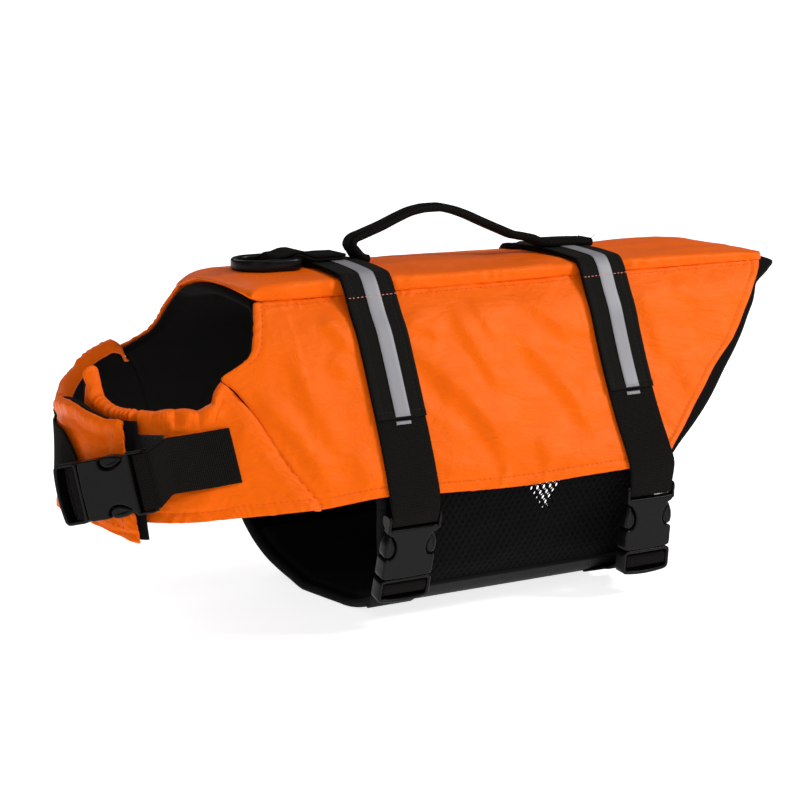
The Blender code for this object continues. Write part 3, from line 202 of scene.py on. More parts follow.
# Main creases of the left side panel: crest line as (X, depth below the seam), then height,
# width of the flank that faces up and tailwards, width of the flank that faces down.
PANEL_CREASES = (
    (((-37, 40), (-21, 62), (-3, 83), (11, 104), (21, 125), (26, 143)), 3.4, 15.0, 7.0),
    (((6, 12), (10, 34), (22, 64), (33, 88)), 1.7, 10.0, 6.0),
    (((23, 8), (29, 30), (35, 50)), 1.1, 7.0, 5.0),
    (((50, 34), (68, 62), (84, 84), (96, 106), (106, 130)), 2.8, 14.0, 7.0),
    (((57, 8), (80, 28), (104, 54)), 1.9, 9.0, 6.0),
    (((-40, 24), (-22, 30), (-10, 44)), 1.5, 8.0, 5.0),
    (((52, 116), (60, 142)), 1.5, 10.0, 6.0),
    (((-14, 66), (-16, 92)), 0.8, 7.0, 6.0),
    (((-38, 137), (-10, 136), (14, 138)), 1.1, 8.0, 9.0),
    (((62, 140), (84, 138), (110, 137)), 1.0, 7.0, 8.0),
    (((12, 150), (17, 141), (24, 136)), 1.3, 4.0, 3.5),
    (((-168, 58), (-156, 80), (-141, 100), (-130, 120), (-118, 141)), 2.4, 11.0, 6.0),
    (((-132, 30), (-127, 60), (-118, 92), (-108, 122)), 1.9, 13.0, 8.0),
    (((-105, 14), (-92, 30), (-84, 47)), 2.1, 9.0, 6.0),
    (((-105, 43), (-90, 62)), 1.2, 8.0, 6.0),
    (((-100, 112), (-90, 146)), 1.5, 9.0, 7.0),
    (((171, 10), (176, 34), (180, 60), (184, 80)), 1.5, 10.0, 7.0),
    (((206, 8), (219, 27), (236, 38)), 1.3, 10.0, 8.0),
    (((195, 70), (201, 106)), 1.4, 11.0, 7.0),
    (((170, 112), (176, 128)), 0.9, 7.0, 6.0),
)
# The same for the two chest flaps: distance round the chest, depth.
LEFT_FLAP_CREASES = (
    (((93, 74), (99, 87), (103, 97)), 1.6, 5.0, 4.0),
    (((113, 73), (107, 86), (104, 96)), 1.7, 5.0, 4.0),
    (((64, 84), (78, 81), (92, 88)), 1.5, 9.0, 7.0),
    (((124, 78), (128, 96), (126, 118)), 1.2, 9.0, 6.0),
    (((72, 134), (92, 139), (118, 140)), 1.3, 7.0, 6.0),
    (((142, 84), (150, 110), (152, 136)), 1.1, 10.0, 8.0),
)
RIGHT_FLAP_CREASES = (
    (((96, 58), (100, 74), (98, 92)), 1.4, 9.0, 7.0),
    (((120, 74), (126, 88), (128, 98)), 1.4, 9.0, 7.0),
    (((232, 92), (246, 104), (258, 122)), 1.5, 9.0, 6.0),
    (((240, 140), (256, 146), (272, 150)), 1.2, 7.0, 6.0),
    (((208, 96), (222, 102)), 1.0, 6.0, 5.0),
    (((110, 132), (140, 138), (170, 136)), 1.3, 8.0, 7.0),
)


# Curves and shapes of the pattern.


def smooth(table: tuple, at: np.ndarray, column: int = 1) -> np.ndarray:
    """A table's column at places in its first column, on monotone cubic pieces.

    Args:
        table: rows whose first value rises.
        at: places to read.
        column: which column to read.

    Returns:
        The values, carried on in a straight line past both ends.
    """
    rows = np.asarray(table, float)
    x, y = rows[:, 0], rows[:, column]
    slope = np.diff(y) / np.diff(x)
    tangent = np.empty_like(y)
    tangent[0], tangent[-1] = slope[0], slope[-1]
    turning = slope[:-1] * slope[1:] <= 0.0
    mean = 2.0 * slope[:-1] * slope[1:] / np.where(turning, 1.0, slope[:-1] + slope[1:])
    tangent[1:-1] = np.where(turning, 0.0, mean)
    at = np.asarray(at, float)
    inside = np.clip(at, x[0], x[-1])
    i = np.clip(np.searchsorted(x, inside, side="right") - 1, 0, len(x) - 2)
    h = x[i + 1] - x[i]
    t = (inside - x[i]) / h
    value = y[i] * (1 + 2 * t) * (1 - t) ** 2 + y[i + 1] * t * t * (3 - 2 * t)
    value = value + h * t * (1 - t) * (tangent[i] * (1 - t) - tangent[i + 1] * t)
    before = np.minimum(at - x[0], 0.0) * tangent[0]
    after = np.maximum(at - x[-1], 0.0) * tangent[-1]
    return value + before + after


def run_of(line: np.ndarray) -> np.ndarray:
    """Distance along a line of points from its first one."""
    return np.concatenate([[0.0], np.cumsum(np.linalg.norm(np.diff(line, axis=0), axis=1))])


def by_length(points: tuple) -> np.ndarray:
    """Rows with the distance along the line of their first two values put in front."""
    rows = np.asarray(points, float)
    return np.column_stack([run_of(rows[:, :2]), rows])


def ease(value: np.ndarray, start: float, end: float) -> np.ndarray:
    """0 before start and 1 after end, on 3t^2 - 2t^3 between them."""
    t = np.clip((np.asarray(value, float) - start) / (end - start), 0.0, 1.0)
    return t * t * (3 - 2 * t)


def bump(value: np.ndarray, centre: float, width: float) -> np.ndarray:
    """A soft hump exp(-((value - centre) / width)^2)."""
    return np.exp(-(((np.asarray(value, float) - centre) / width) ** 2))


def shallow(height: np.ndarray, floor: float = -1.8) -> np.ndarray:
    """Heights eased so that none is deeper than floor: below half of it they bend to it as tanh."""
    start = 0.5 * floor
    deep = start + (floor - start) * np.tanh((height - start) / (floor - start))
    return np.where(height < start, deep, height)


def through(points: np.ndarray, step: float) -> np.ndarray:
    """Rows of points drawn on a Catmull-Rom curve through the given rows.

    Args:
        points: (rows, columns, 3) or (rows, 3), the rows to pass through.
        step: wanted distance between the rows returned.

    Returns:
        The same number of columns with more rows, evenly spaced on the middle column.
    """
    rows = np.asarray(points, float)
    flat = rows.reshape(len(rows), -1)
    guide = rows if rows.ndim == 2 else rows[:, rows.shape[1] // 2]
    chord = np.linalg.norm(np.diff(guide, axis=0), axis=1) ** 0.75
    knots = np.concatenate([[0.0], np.cumsum(np.maximum(chord, 1e-6))])
    slope = np.diff(flat, axis=0) / np.diff(knots)[:, None]
    before, after = np.diff(knots)[:-1, None], np.diff(knots)[1:, None]
    inner = (slope[:-1] * after + slope[1:] * before) / (before + after)
    tangent = np.vstack([slope[:1], inner, slope[-1:]])

    def at(t: np.ndarray) -> np.ndarray:
        """The curve at parameter values t."""
        i = np.clip(np.searchsorted(knots, t, side="right") - 1, 0, len(knots) - 2)
        h = (knots[i + 1] - knots[i])[:, None]
        u = (t - knots[i])[:, None] / h
        value = flat[i] * (1 + 2 * u) * (1 - u) ** 2 + flat[i + 1] * u * u * (3 - 2 * u)
        return value + h * u * (1 - u) * (tangent[i] * (1 - u) - tangent[i + 1] * u)

    fine = np.linspace(0.0, knots[-1], 40 * len(knots))
    drawn = at(fine).reshape(len(fine), *rows.shape[1:])
    line = drawn if rows.ndim == 2 else drawn[:, rows.shape[1] // 2]
    run = run_of(line)
    count = max(2, int(round(run[-1] / step)) + 1)
    even = np.interp(np.linspace(0.0, run[-1], count), run, fine)
    return at(even).reshape(count, *rows.shape[1:])


BODY_ROWS = by_length(BODY_SECTION)


def nose_plan(distance: np.ndarray) -> tuple[np.ndarray, np.ndarray, np.ndarray]:
    """X, -Y and heading in radians of the chest's plan on the left, mirrored past its middle."""
    fine = np.linspace(0.0, NOSE_LENGTH, 206)
    heading = np.radians(smooth(NOSE_HEADING, fine))
    middle = 0.5 * (heading[1:] + heading[:-1])
    step = np.diff(fine)
    ahead = np.concatenate([[0.0], np.cumsum(np.cos(middle) * step)])
    inward = np.concatenate([[0.0], np.cumsum(np.sin(middle) * step)])
    inward = inward * NOSE_HALF_WIDTH / inward[-1]
    distance = np.asarray(distance, float)
    past = distance > NOSE_LENGTH
    folded = np.where(past, 2 * NOSE_LENGTH - distance, distance)
    x = NOSE_START_X - np.interp(folded, fine, ahead) - np.minimum(folded, 0.0)
    out = NOSE_HALF_WIDTH - np.interp(folded, fine, inward)
    turn = np.interp(folded, fine, heading) * (folded > 0)
    return x, np.where(past, -out, out), np.where(past, math.pi - turn, turn)


def body_point(
    distance: np.ndarray, depth: np.ndarray, offset: np.ndarray, side: int
) -> np.ndarray:
    """Points of the garment's side, chest included.

    The section's half width and height at a depth are carried along the plan of the
    chest; offset is outward, at right angles to the section.

    Args:
        distance: forward along the cloth from the chest's start.
        depth: down the cloth from the side seam.
        offset: outward from the outer cloth.
        side: -1 on the left, 1 on the right.

    Returns:
        Points (..., 3).
    """
    x, out, heading = nose_plan(distance)
    half = smooth(BODY_ROWS, depth, 1)
    height = smooth(BODY_ROWS, depth, 2)
    lean = 1.0 - (1.0 - NOSE_LEAN) * np.sin(heading) ** 1.5
    rear = ease(x, 20.0, 145.0)
    arch = np.sin(math.pi * np.clip(depth / FLAP_HEM, 0.0, 1.0))
    spread = (half - NOSE_HALF_WIDTH) * lean
    spread = spread - PINCH * rear * arch + FLARE * rear * ease(depth, 110.0, 150.0)
    narrow = (NOSE_HALF_WIDTH - out) * (1.0 - ease(depth, 0.0, 30.0))
    step = 0.5
    run = (smooth(BODY_ROWS, depth + step, 1) - smooth(BODY_ROWS, depth - step, 1)) * lean
    fall = smooth(BODY_ROWS, depth - step, 2) - smooth(BODY_ROWS, depth + step, 2)
    long = np.hypot(run, fall)
    outward = spread + narrow + offset * fall / long
    px = x - np.sin(heading) * ease(distance, 0.0, 28.0) * outward
    py = out + np.cos(heading) * outward
    return np.stack(np.broadcast_arrays(px, side * py, height + offset * run / long), -1)


def overlap_shift(distance: np.ndarray, depth: np.ndarray) -> np.ndarray:
    """How far the right flap stands out from the chest, to pass over the left one."""
    along = np.asarray(distance, float) - OVERLAP_START
    share = np.clip(along / (OVERLAP_END - OVERLAP_START), 0.0, 1.0)
    tuck = TUCK * np.sin(math.pi * share) ** 2 * ease(np.asarray(depth, float), 75.0, 125.0)
    return OVERLAP_LIFT * ease(distance, 165.0, OVERLAP_END) - tuck


def slab_ends(y: np.ndarray) -> tuple[np.ndarray, np.ndarray]:
    """X of the back slab's front and rear edges at a width."""
    share = np.asarray(y, float) / SLAB_HALF_WIDTH
    front = SLAB_FRONT - 0.5 * RIGHT_LEAD * (share + 1.0) - SLAB_NOSE * (1.0 - share**2)
    rear = SLAB_REAR + SLAB_TAIL * (1.0 - np.abs(share) ** 2.2)
    return front, rear


def slab_under(x: np.ndarray, y: np.ndarray) -> np.ndarray:
    """Height of the arch that the back slab lies on."""
    rise = SLAB_CROWN - smooth(SLAB_PROFILE, x, 1)
    return BODY_SECTION[0][1] - 0.9 + rise * (1.0 - (y / SLAB_HALF_WIDTH) ** 2)


def slab_thickness(x: np.ndarray, y: np.ndarray) -> np.ndarray:
    """Thickness of the back slab at a place."""
    full = SLAB_SIDE - (SLAB_SIDE - SLAB_CENTRE) * (1.0 - (y / SLAB_HALF_WIDTH) ** 2)
    return full * smooth(SLAB_PROFILE, x, 2)


def slab_side(x: np.ndarray, angle: np.ndarray, offset: float) -> tuple[np.ndarray, np.ndarray]:
    """Half width and height on the slab's rounded side wall, angle -90 to 90 degrees."""
    a = np.radians(angle)
    inner = SLAB_HALF_WIDTH - SLAB_ROUND
    half = inner + SLAB_ROUND * np.cos(a) ** np.where(a < 0.0, 0.12, 1.0) + offset * np.cos(a)
    thick = slab_thickness(x, inner)
    middle = slab_under(x, inner) + CHORD_GAP + 0.5 * thick
    return half, middle + (0.5 * thick + offset) * np.sin(a)


def slab_top(x: np.ndarray, y: np.ndarray, offset: float) -> np.ndarray:
    """Height above the slab at a width."""
    return slab_under(x, y) + CHORD_GAP + slab_thickness(x, y) + offset


# Cloth relief.


def wander(u: np.ndarray, v: np.ndarray, seed: int, octaves: int = 3) -> np.ndarray:
    """Smooth noise about 0, a sum of lattice noises of halving size and height.

    Args:
        u: place along, in units of the largest bump.
        v: place across, in the same units.
        seed: fixes the pattern.
        octaves: how many sizes are summed.

    Returns:
        Values of about -1 to 1.
    """
    total = np.zeros(np.broadcast(u, v).shape)
    for k in range(octaves):
        lattice = np.random.default_rng(seed + 101 * k).uniform(-1.0, 1.0, (64, 64))
        a, b = u * 2.0**k + 17.3, v * 2.0**k + 9.1
        i, j = np.floor(a).astype(int), np.floor(b).astype(int)
        s, t = a - i, b - j
        s, t = s * s * (3 - 2 * s), t * t * (3 - 2 * t)
        near = lattice[i % 64, j % 64] * (1 - t) + lattice[i % 64, (j + 1) % 64] * t
        far = lattice[(i + 1) % 64, j % 64] * (1 - t) + lattice[(i + 1) % 64, (j + 1) % 64] * t
        total = total + (near * (1 - s) + far * s) * 0.5**k
    return total


def puckers(
    along: np.ndarray, away: np.ndarray, pitch: float, reach: float, seed: int
) -> np.ndarray:
    """Gathers that a seam pulls into cloth: a wave along it of uneven pitch, fading away from it.

    Args:
        along: distance along the seam.
        away: distance from the seam.
        pitch: usual distance between two gathers.
        reach: distance over which they fade.
        seed: fixes the pattern.

    Returns:
        Heights of about -1 to 1.
    """
    drift = 2.2 * wander(along / (3.2 * pitch), away / (4.0 * reach), seed, 2)
    size = 0.55 + 0.45 * wander(along / (2.1 * pitch), along * 0.0, seed + 7, 2)
    wave = np.sin(2 * math.pi * (along / pitch + drift) + 0.05 * away)
    return wave * size * np.exp(-np.abs(away) / reach)


def creases(u: np.ndarray, v: np.ndarray, table: tuple, shift: float = 0.0) -> np.ndarray:
    """Soft ridges with a trough beside each: a bump of the signed distance to a crest line.

    Args:
        u: first coordinate of each place.
        v: second coordinate of each place.
        table: rows of crest points, height, upper flank's width, lower flank's width.
        shift: moves every crest along u and stretches its height, for the hidden side.

    Returns:
        Height at each place.
    """
    total = np.zeros(np.broadcast(u, v).shape)
    for k, (crest, height, upper, lower) in enumerate(table):
        stray = shift * math.sin(2.4 * k + 1.0)
        line = through(np.array([(a + stray, b, 0.0) for a, b in crest], float), 6.0)
        start, end = line[:-1, :2], line[1:, :2]
        run = end - start
        px = u[..., None] - start[:, 0]
        py = v[..., None] - start[:, 1]
        t = np.clip((px * run[:, 0] + py * run[:, 1]) / (run**2).sum(-1), 0.0, 1.0)
        dx, dy = px - t * run[:, 0], py - t * run[:, 1]
        away = np.hypot(dx, dy)
        best = away.argmin(-1)[..., None]
        near = np.take_along_axis(away, best, -1)[..., 0]
        turn = np.take_along_axis(run[:, 0] * dy - run[:, 1] * dx, best, -1)[..., 0]
        place = (np.take_along_axis(t, best, -1)[..., 0] + best[..., 0]) / len(run)
        fade = np.minimum(ease(place, 0.0, 0.3), 1.0 - ease(place, 0.72, 1.0))
        signed = near * np.where(turn < 0.0, 1.0, -1.0)
        ridge = np.where(signed > 0.0, bump(near, 0.0, upper), bump(near, 0.0, lower))
        trough = 0.35 * bump(signed, -1.9 * lower, 1.3 * lower)
        stretch = 1.0 + (0.25 * math.cos(3.1 * k) if shift else 0.0)
        total = total + height * stretch * fade * (ridge - trough)
    return total


# Meshes.


class Body(str, Enum):
    """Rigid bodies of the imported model."""

    ROOT = "root"


class Slot(str, Enum):
    """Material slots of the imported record."""

    NYLON = "orange_oxford_nylon"
    LINING = "black_lining_cloth"
    MESH = "black_mesh_cloth"
    WEBBING = "black_webbing"
    ACETAL = "black_acetal"


def grid_normals(points: np.ndarray) -> np.ndarray:
    """Unit normals of a grid of points: the cross product of its two central differences."""
    normal = np.cross(np.gradient(points, axis=1), np.gradient(points, axis=0))
    return normal / np.maximum(np.linalg.norm(normal, axis=-1, keepdims=True), 1e-9)


def facing(points: np.ndarray, outward: tuple) -> float:
    """1 where a grid's order makes its middle face outward, -1 where it has to be turned."""
    middle = grid_normals(points)[points.shape[0] // 2, points.shape[1] // 2]
    return -1.0 if np.dot(middle, outward) < 0 else 1.0


def relief(points: np.ndarray, height: np.ndarray, outward: tuple) -> np.ndarray:
    """Moves a grid's points along its normals.

    Args:
        points: (rows, columns, 3).
        height: (rows, columns).
        outward: rough direction of the outer face at the grid's middle.

    Returns:
        The moved points.
    """
    return points + facing(points, outward) * grid_normals(points) * height[..., None]


def run_lengths(points: np.ndarray) -> tuple[np.ndarray, np.ndarray]:
    """Distance along the rows and along the columns of a grid, in millimetres."""
    across = np.linalg.norm(np.diff(points, axis=1), axis=-1)
    along = np.linalg.norm(np.diff(points, axis=0), axis=-1)
    u = np.concatenate([np.zeros((len(points), 1)), np.cumsum(across, axis=1)], axis=1)
    v = np.concatenate([np.zeros((1, points.shape[1])), np.cumsum(along, axis=0)], axis=0)
    return u, v


def quad_grid(rows: int, columns: int, loop: bool = False, tube: bool = False) -> np.ndarray:
    """A grid's faces by point number, (n, 4); loop joins its ends and tube its sides."""
    last_row, last_column = (rows if loop else rows - 1), (columns if tube else columns - 1)
    i, j = np.meshgrid(np.arange(last_row), np.arange(last_column), indexing="ij")
    k, m = (i + 1) % rows, (j + 1) % columns
    corners = [i * columns + j, i * columns + m, k * columns + m, k * columns + j]
    return np.stack(corners, -1).reshape(-1, 4)


def link_mesh(
    name: str, points: np.ndarray, faces: list, uv: tuple | None = None
) -> bpy.types.Object:
    """Links a smooth mesh at the origin.

    Args:
        name: the object's name.
        points: (..., 3) in pattern millimetres.
        faces: the point numbers of each face.
        uv: two arrays that give a value to each point, in millimetres, or None for no map.

    Returns:
        The object.
    """
    mesh = bpy.data.meshes.new(name)
    mesh.from_pydata(((points.reshape(-1, 3) - PATTERN_CENTRE) * MM).tolist(), [], faces)
    if uv is not None:
        layer = mesh.uv_layers.new(name=CLOTH_MAP)
        loops = np.empty(len(mesh.loops), np.int32)
        mesh.loops.foreach_get("vertex_index", loops)
        pairs = np.stack([np.broadcast_to(value, points.shape[:2]).reshape(-1) for value in uv], -1)
        layer.data.foreach_set("uv", pairs[loops].astype(np.float32).reshape(-1))
    mesh.polygons.foreach_set("use_smooth", np.ones(len(mesh.polygons), bool))
    return link(name, mesh)


def link(name: str, data: bpy.types.ID) -> bpy.types.Object:
    """An object of a mesh, lamp or camera, linked to the scene."""
    made = bpy.data.objects.new(name, data)
    bpy.context.scene.collection.objects.link(made)
    return made


def surface(
    name: str,
    points: np.ndarray,
    uv: tuple | None = None,
    outward: tuple | None = None,
    tube: bool = False,
) -> bpy.types.Object:
    """A mesh object from a grid of points, with a UV map in millimetres.

    Args:
        name: the object's name.
        points: (rows, columns, 3) in pattern millimetres.
        uv: two (rows, columns) arrays, or None for the lengths along the grid.
        outward: rough direction of the outer face at the middle, or None to keep the order.
        tube: joins the last column to the first, and closes each end with a face.

    Returns:
        The object.
    """
    rows, columns = points.shape[:2]
    quads = quad_grid(rows, columns, tube=tube)
    if outward is not None and facing(points, outward) < 0:
        quads = quads[:, ::-1]
    faces = quads.tolist()
    if tube:
        last = (rows - 1) * columns
        faces += [list(range(columns))[::-1], list(range(last, last + columns))]
    return link_mesh(name, points, faces, run_lengths(points) if uv is None else uv)


def thicken(made: bpy.types.Object, thickness: float) -> bpy.types.Object:
    """Gives an open surface its wall, away from its outer face."""
    wall = made.modifiers.new("cloth wall", "SOLIDIFY")
    wall.thickness = thickness * MM
    wall.offset = -1.0
    wall.use_even_offset = False
    return made


def finish_piece(
    made: bpy.types.Object, finish: "Finish", nodes: tuple[str, ...] = ()
) -> bpy.types.Object:
    """Dresses a piece, and lets it ride on the jacket in place of CAD nodes."""
    made.data.materials.append(finish.material())
    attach(made, Body.ROOT.value)
    if nodes:
        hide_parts(*nodes)
    LOG.info("%s: %d points", made.name, len(made.data.vertices))
    return made


def ribbon(path: np.ndarray, across: tuple, width: np.ndarray, columns: int = 9) -> np.ndarray:
    """A grid that carries a straight width along a path.

    Args:
        path: (rows, 3), the middle of the strap's outer face.
        across: unit direction of its width.
        width: the width at each row.
        columns: points across.

    Returns:
        (rows, columns, 3) points path + s * width / 2 * across, s from -1 to 1.
    """
    share = np.linspace(-1.0, 1.0, columns)[None, :, None]
    wide = np.broadcast_to(width, len(path))[:, None, None]
    return path[:, None] + 0.5 * share * wide * np.array(across, float)


def sewn(
    points: np.ndarray, rows: np.ndarray, columns: np.ndarray, outward: tuple, lift: float = 0.1
) -> tuple[np.ndarray, np.ndarray]:
    """A line drawn on a grid, by bilinear reading of its points and normals.

    Args:
        points: (rows, columns, 3) outer face.
        rows: row numbers along the line, fractions allowed.
        columns: column numbers along the line.
        outward: rough direction of the outer face at the grid's middle.
        lift: how far the line stands off the face.

    Returns:
        The line's points and its directions out of the cloth.
    """
    normal = facing(points, outward) * grid_normals(points)
    rows, columns = np.broadcast_arrays(np.asarray(rows, float), np.asarray(columns, float))
    i = np.clip(rows.astype(int), 0, points.shape[0] - 2)
    j = np.clip(columns.astype(int), 0, points.shape[1] - 2)
    s, t = (rows - i)[:, None], (columns - j)[:, None]

    def read(grid: np.ndarray) -> np.ndarray:
        """The grid's values at the line."""
        near, far = (grid[k, j] * (1 - t) + grid[k, j + 1] * t for k in (i, i + 1))
        return near * (1 - s) + far * s

    away = read(normal)
    return read(points) + lift * away, away


@dataclass(frozen=True)
class Stitch:
    """One kind of sewing: the length of a stitch, the gap after it and half the thread's width."""

    length: float
    gap: float
    radius: float
    rings: int = 5
    sides: int = 6
    taper: float = 0.92
    flatness: float = 0.7

    def tubes(self, path: np.ndarray, away: np.ndarray) -> np.ndarray:
        """Flattened capsules along a seam.

        A stitch is the tube r(t) = radius * (1 - taper * (2t)^4), t from -1/2 to 1/2.

        Args:
            path: (n, 3) points of the seam on the cloth.
            away: (n, 3) directions out of the cloth.

        Returns:
            (stitches, rings, sides, 3) points.
        """
        run = run_of(path)
        count = max(1, int(run[-1] // (self.length + self.gap)))
        middle = (np.arange(count) + 0.5) * run[-1] / count
        reach = np.linspace(-0.5, 0.5, self.rings) * self.length
        at = middle[:, None] + reach[None]
        line = np.stack([np.interp(at, run, path[:, k]) for k in range(3)], -1)
        out = np.stack([np.interp(middle, run, away[:, k]) for k in range(3)], -1)
        out /= np.linalg.norm(out, axis=1, keepdims=True)
        ahead = line[:, -1] - line[:, 0]
        ahead /= np.linalg.norm(ahead, axis=1, keepdims=True)
        side = np.cross(ahead, out)
        angle = (np.arange(self.sides) * 2 * math.pi / self.sides)[None, None, :, None]
        swell = self.radius * (1.0 - (2.0 * reach / self.length) ** 4 * self.taper)
        flat = self.flatness * np.sin(angle) * out[:, None, None]
        ring = np.cos(angle) * side[:, None, None] + flat
        return line[:, :, None] + ring * swell[None, :, None, None]


PANEL_STITCH = Stitch(2.9, 1.3, 0.26)
CHEST_STITCH = Stitch(2.6, 0.7, 0.22)
BAND_STITCH = Stitch(2.2, 1.0, 0.22)
CROSSING_STITCH = Stitch(2.1, 1.1, 0.34)
LOOSE_END = Stitch(20.0, 2.0, 0.28)


def stitches(name: str, lines: list, kind: Stitch, finish: "Finish") -> bpy.types.Object:
    """Lines of sewing, all in one mesh.

    Args:
        name: the object's name.
        lines: pairs of (n, 3) points of a seam and (n, 3) directions out of the cloth.
        kind: the stitch.
        finish: the thread's finish.

    Returns:
        The dressed piece.
    """
    points = np.concatenate([kind.tubes(path, away) for path, away in lines])
    size = kind.rings * kind.sides
    step = size * np.arange(len(points))[:, None, None]
    quads = quad_grid(kind.rings, kind.sides, tube=True)[:, [0, 3, 2, 1]]
    rim = np.arange(kind.sides)
    faces = (quads[None] + step).reshape(-1, 4).tolist()
    faces += (np.stack([rim, size - 1 - rim])[None] + step).reshape(-1, kind.sides).tolist()
    return finish_piece(link_mesh(name, points, faces), finish)


# Finishes.


def linear(colour: str) -> tuple[float, float, float, float]:
    """An sRGB hex colour as linear RGB and alpha 1."""
    parts = [int(colour[k : k + 2], 16) / 255 for k in (1, 3, 5)]
    return (*[c / 12.92 if c <= 0.04045 else ((c + 0.055) / 1.055) ** 2.4 for c in parts], 1.0)


class Nodes:
    """A material's shader and node tree, with the groups of nodes that several finishes use."""

    def __init__(self, made: bpy.types.Material) -> None:
        """Takes up a material that uses nodes."""
        self.tree = made.node_tree
        self.shader = self.tree.nodes["Principled BSDF"]

    def set(self, name: str, value: object) -> None:
        """Sets the shader's value of that name, or links a socket to it."""
        if isinstance(value, bpy.types.NodeSocket):
            self.tree.links.new(value, self.shader.inputs[name])
        else:
            self.shader.inputs[name].default_value = value

    def add(self, kind: str, settings: dict | None = None, **links: object) -> bpy.types.Node:
        """Adds a node.

        Args:
            kind: the node's type name.
            settings: attributes of the node, or values of its inputs by name.
            links: sockets or values for inputs named in lower case, or i0, i1, ...

        Returns:
            The node.
        """
        made = self.tree.nodes.new(kind)
        for key, value in (settings or {}).items():
            if hasattr(made, key):
                setattr(made, key, value)
            else:
                made.inputs[key].default_value = value
        numbered = reversed(list(enumerate(made.inputs)))
        names = {socket.name.lower().replace(" ", "_"): n for n, socket in numbered}
        for key, value in links.items():
            place = int(key[1:]) if key[0] == "i" and key[1:].isdigit() else names[key]
            if isinstance(value, bpy.types.NodeSocket):
                self.tree.links.new(value, made.inputs[place])
            else:
                made.inputs[place].default_value = value
        return made

    def calc(self, operation: str, *values: object) -> bpy.types.NodeSocket:
        """A maths node on sockets or values."""
        inputs = {f"i{n}": value for n, value in enumerate(values)}
        return self.add("ShaderNodeMath", {"operation": operation}, **inputs).outputs[0]

    def place(self) -> bpy.types.NodeSocket:
        """The object's own coordinates."""
        return self.add("ShaderNodeTexCoord").outputs["Object"]

    def threads(self) -> tuple[bpy.types.NodeSocket, bpy.types.NodeSocket]:
        """The UV map's two values, in millimetres."""
        place = self.add("ShaderNodeUVMap", {"uv_map": CLOTH_MAP})
        parts = self.add("ShaderNodeSeparateXYZ", vector=place.outputs["UV"])
        return parts.outputs["X"], parts.outputs["Y"]

    def ripple(self, value: bpy.types.NodeSocket, pitch: float) -> bpy.types.NodeSocket:
        """sin(2 pi value / pitch)."""
        return self.calc("SINE", self.calc("MULTIPLY", value, 2 * math.pi / pitch))

    def basket(
        self, first: bpy.types.NodeSocket, second: bpy.types.NodeSocket, pitch: float
    ) -> bpy.types.NodeSocket:
        """The product of a wave along each of two values."""
        return self.calc("MULTIPLY", self.ripple(first, pitch), self.ripple(second, pitch))

    def noise(
        self, scale: float, detail: float, vector: bpy.types.NodeSocket | None = None, **more: float
    ) -> bpy.types.NodeSocket:
        """Noise from 0 to 1, on the object's own coordinates or on a vector made from them."""
        settings = {"Scale": scale, "Detail": detail, **more}
        made = self.add("ShaderNodeTexNoise", settings, vector=vector or self.place())
        return made.outputs["Fac"]

    def span(
        self,
        value: bpy.types.NodeSocket,
        start: float,
        end: float,
        low: float = 0.0,
        high: float = 1.0,
    ) -> bpy.types.NodeSocket:
        """A value carried from start..end to low..high, and held beyond them."""
        settings = {"From Min": start, "From Max": end, "To Min": low, "To Max": high}
        return self.add("ShaderNodeMapRange", settings, value=value).outputs[0]

    def tint(self, share: bpy.types.NodeSocket, first: str, second: str) -> None:
        """Links a blend of two hex colours as the base colour."""
        colours = {"i6": linear(first), "i7": linear(second)}
        mixed = self.add("ShaderNodeMix", {"data_type": "RGBA"}, i0=share, **colours)
        self.set("Base Color", mixed.outputs[2])

    def emboss(self, height: bpy.types.NodeSocket, depth: float) -> None:
        """Links a height as a bump of the given depth in millimetres."""
        settings = {"Distance": depth * MM, "Strength": 1.0}
        self.set("Normal", self.add("ShaderNodeBump", settings, height=height).outputs["Normal"])


@dataclass(frozen=True)
class Finish:
    """A surface finish: what it is made of, and how its nodes are set."""

    name: str
    colour: str
    roughness: float
    specular: float = 0.5

    def material(self) -> bpy.types.Material:
        """The finish's material, made once."""
        found = bpy.data.materials.get(self.name)
        if found is not None:
            return found
        made = bpy.data.materials.new(self.name)
        made.use_nodes = True
        nodes = Nodes(made)
        nodes.set("Base Color", linear(self.colour))
        nodes.set("Roughness", self.roughness)
        nodes.set("Specular IOR Level", self.specular)
        self.weave(nodes)
        return made

    def weave(self, nodes: Nodes) -> None:
        """Adds the finish's own detail; a plain finish has none."""


@dataclass(frozen=True)
class OxfordNylon(Finish):
    """Coated oxford nylon: a basket weave under a thin coat, so it glows in soft light.

    Its 0.6 mm threads are drawn 1.3 mm apart, because finer ones would not show.
    """

    specular: float = 0.22
    shade: str = "#EA5D05"
    glint: str = "#FFA868"
    pitch: float = 1.3
    depth: float = 0.05
    crinkle: float = 1.6
    crinkle_stretch: tuple = (0.55, 0.8, 1.25)

    def weave(self, nodes: Nodes) -> None:
        """Basket weave and fine crinkles, with slow drifts of colour and gloss."""
        basket = nodes.basket(*nodes.threads(), self.pitch)
        height = nodes.calc("MULTIPLY_ADD", basket, 0.5, nodes.noise(900.0, 2.0))
        settings = {"Scale": self.crinkle_stretch}
        flat = nodes.add("ShaderNodeMapping", settings, vector=nodes.place()).outputs["Vector"]
        crinkle = nodes.noise(58.0, 5.0, flat, Roughness=0.62, Distortion=0.9)
        total = nodes.calc("MULTIPLY_ADD", crinkle, self.crinkle / self.depth, height)
        nodes.emboss(total, self.depth)
        cloud = nodes.noise(38.0, 4.0)
        nodes.tint(nodes.span(cloud, 0.3, 0.75, 0.0, 0.55), self.colour, self.shade)
        gloss = nodes.span(cloud, 0.3, 0.7, self.roughness - 0.06, self.roughness + 0.06)
        nodes.set("Roughness", gloss)
        nodes.set("Specular Tint", linear(self.glint))


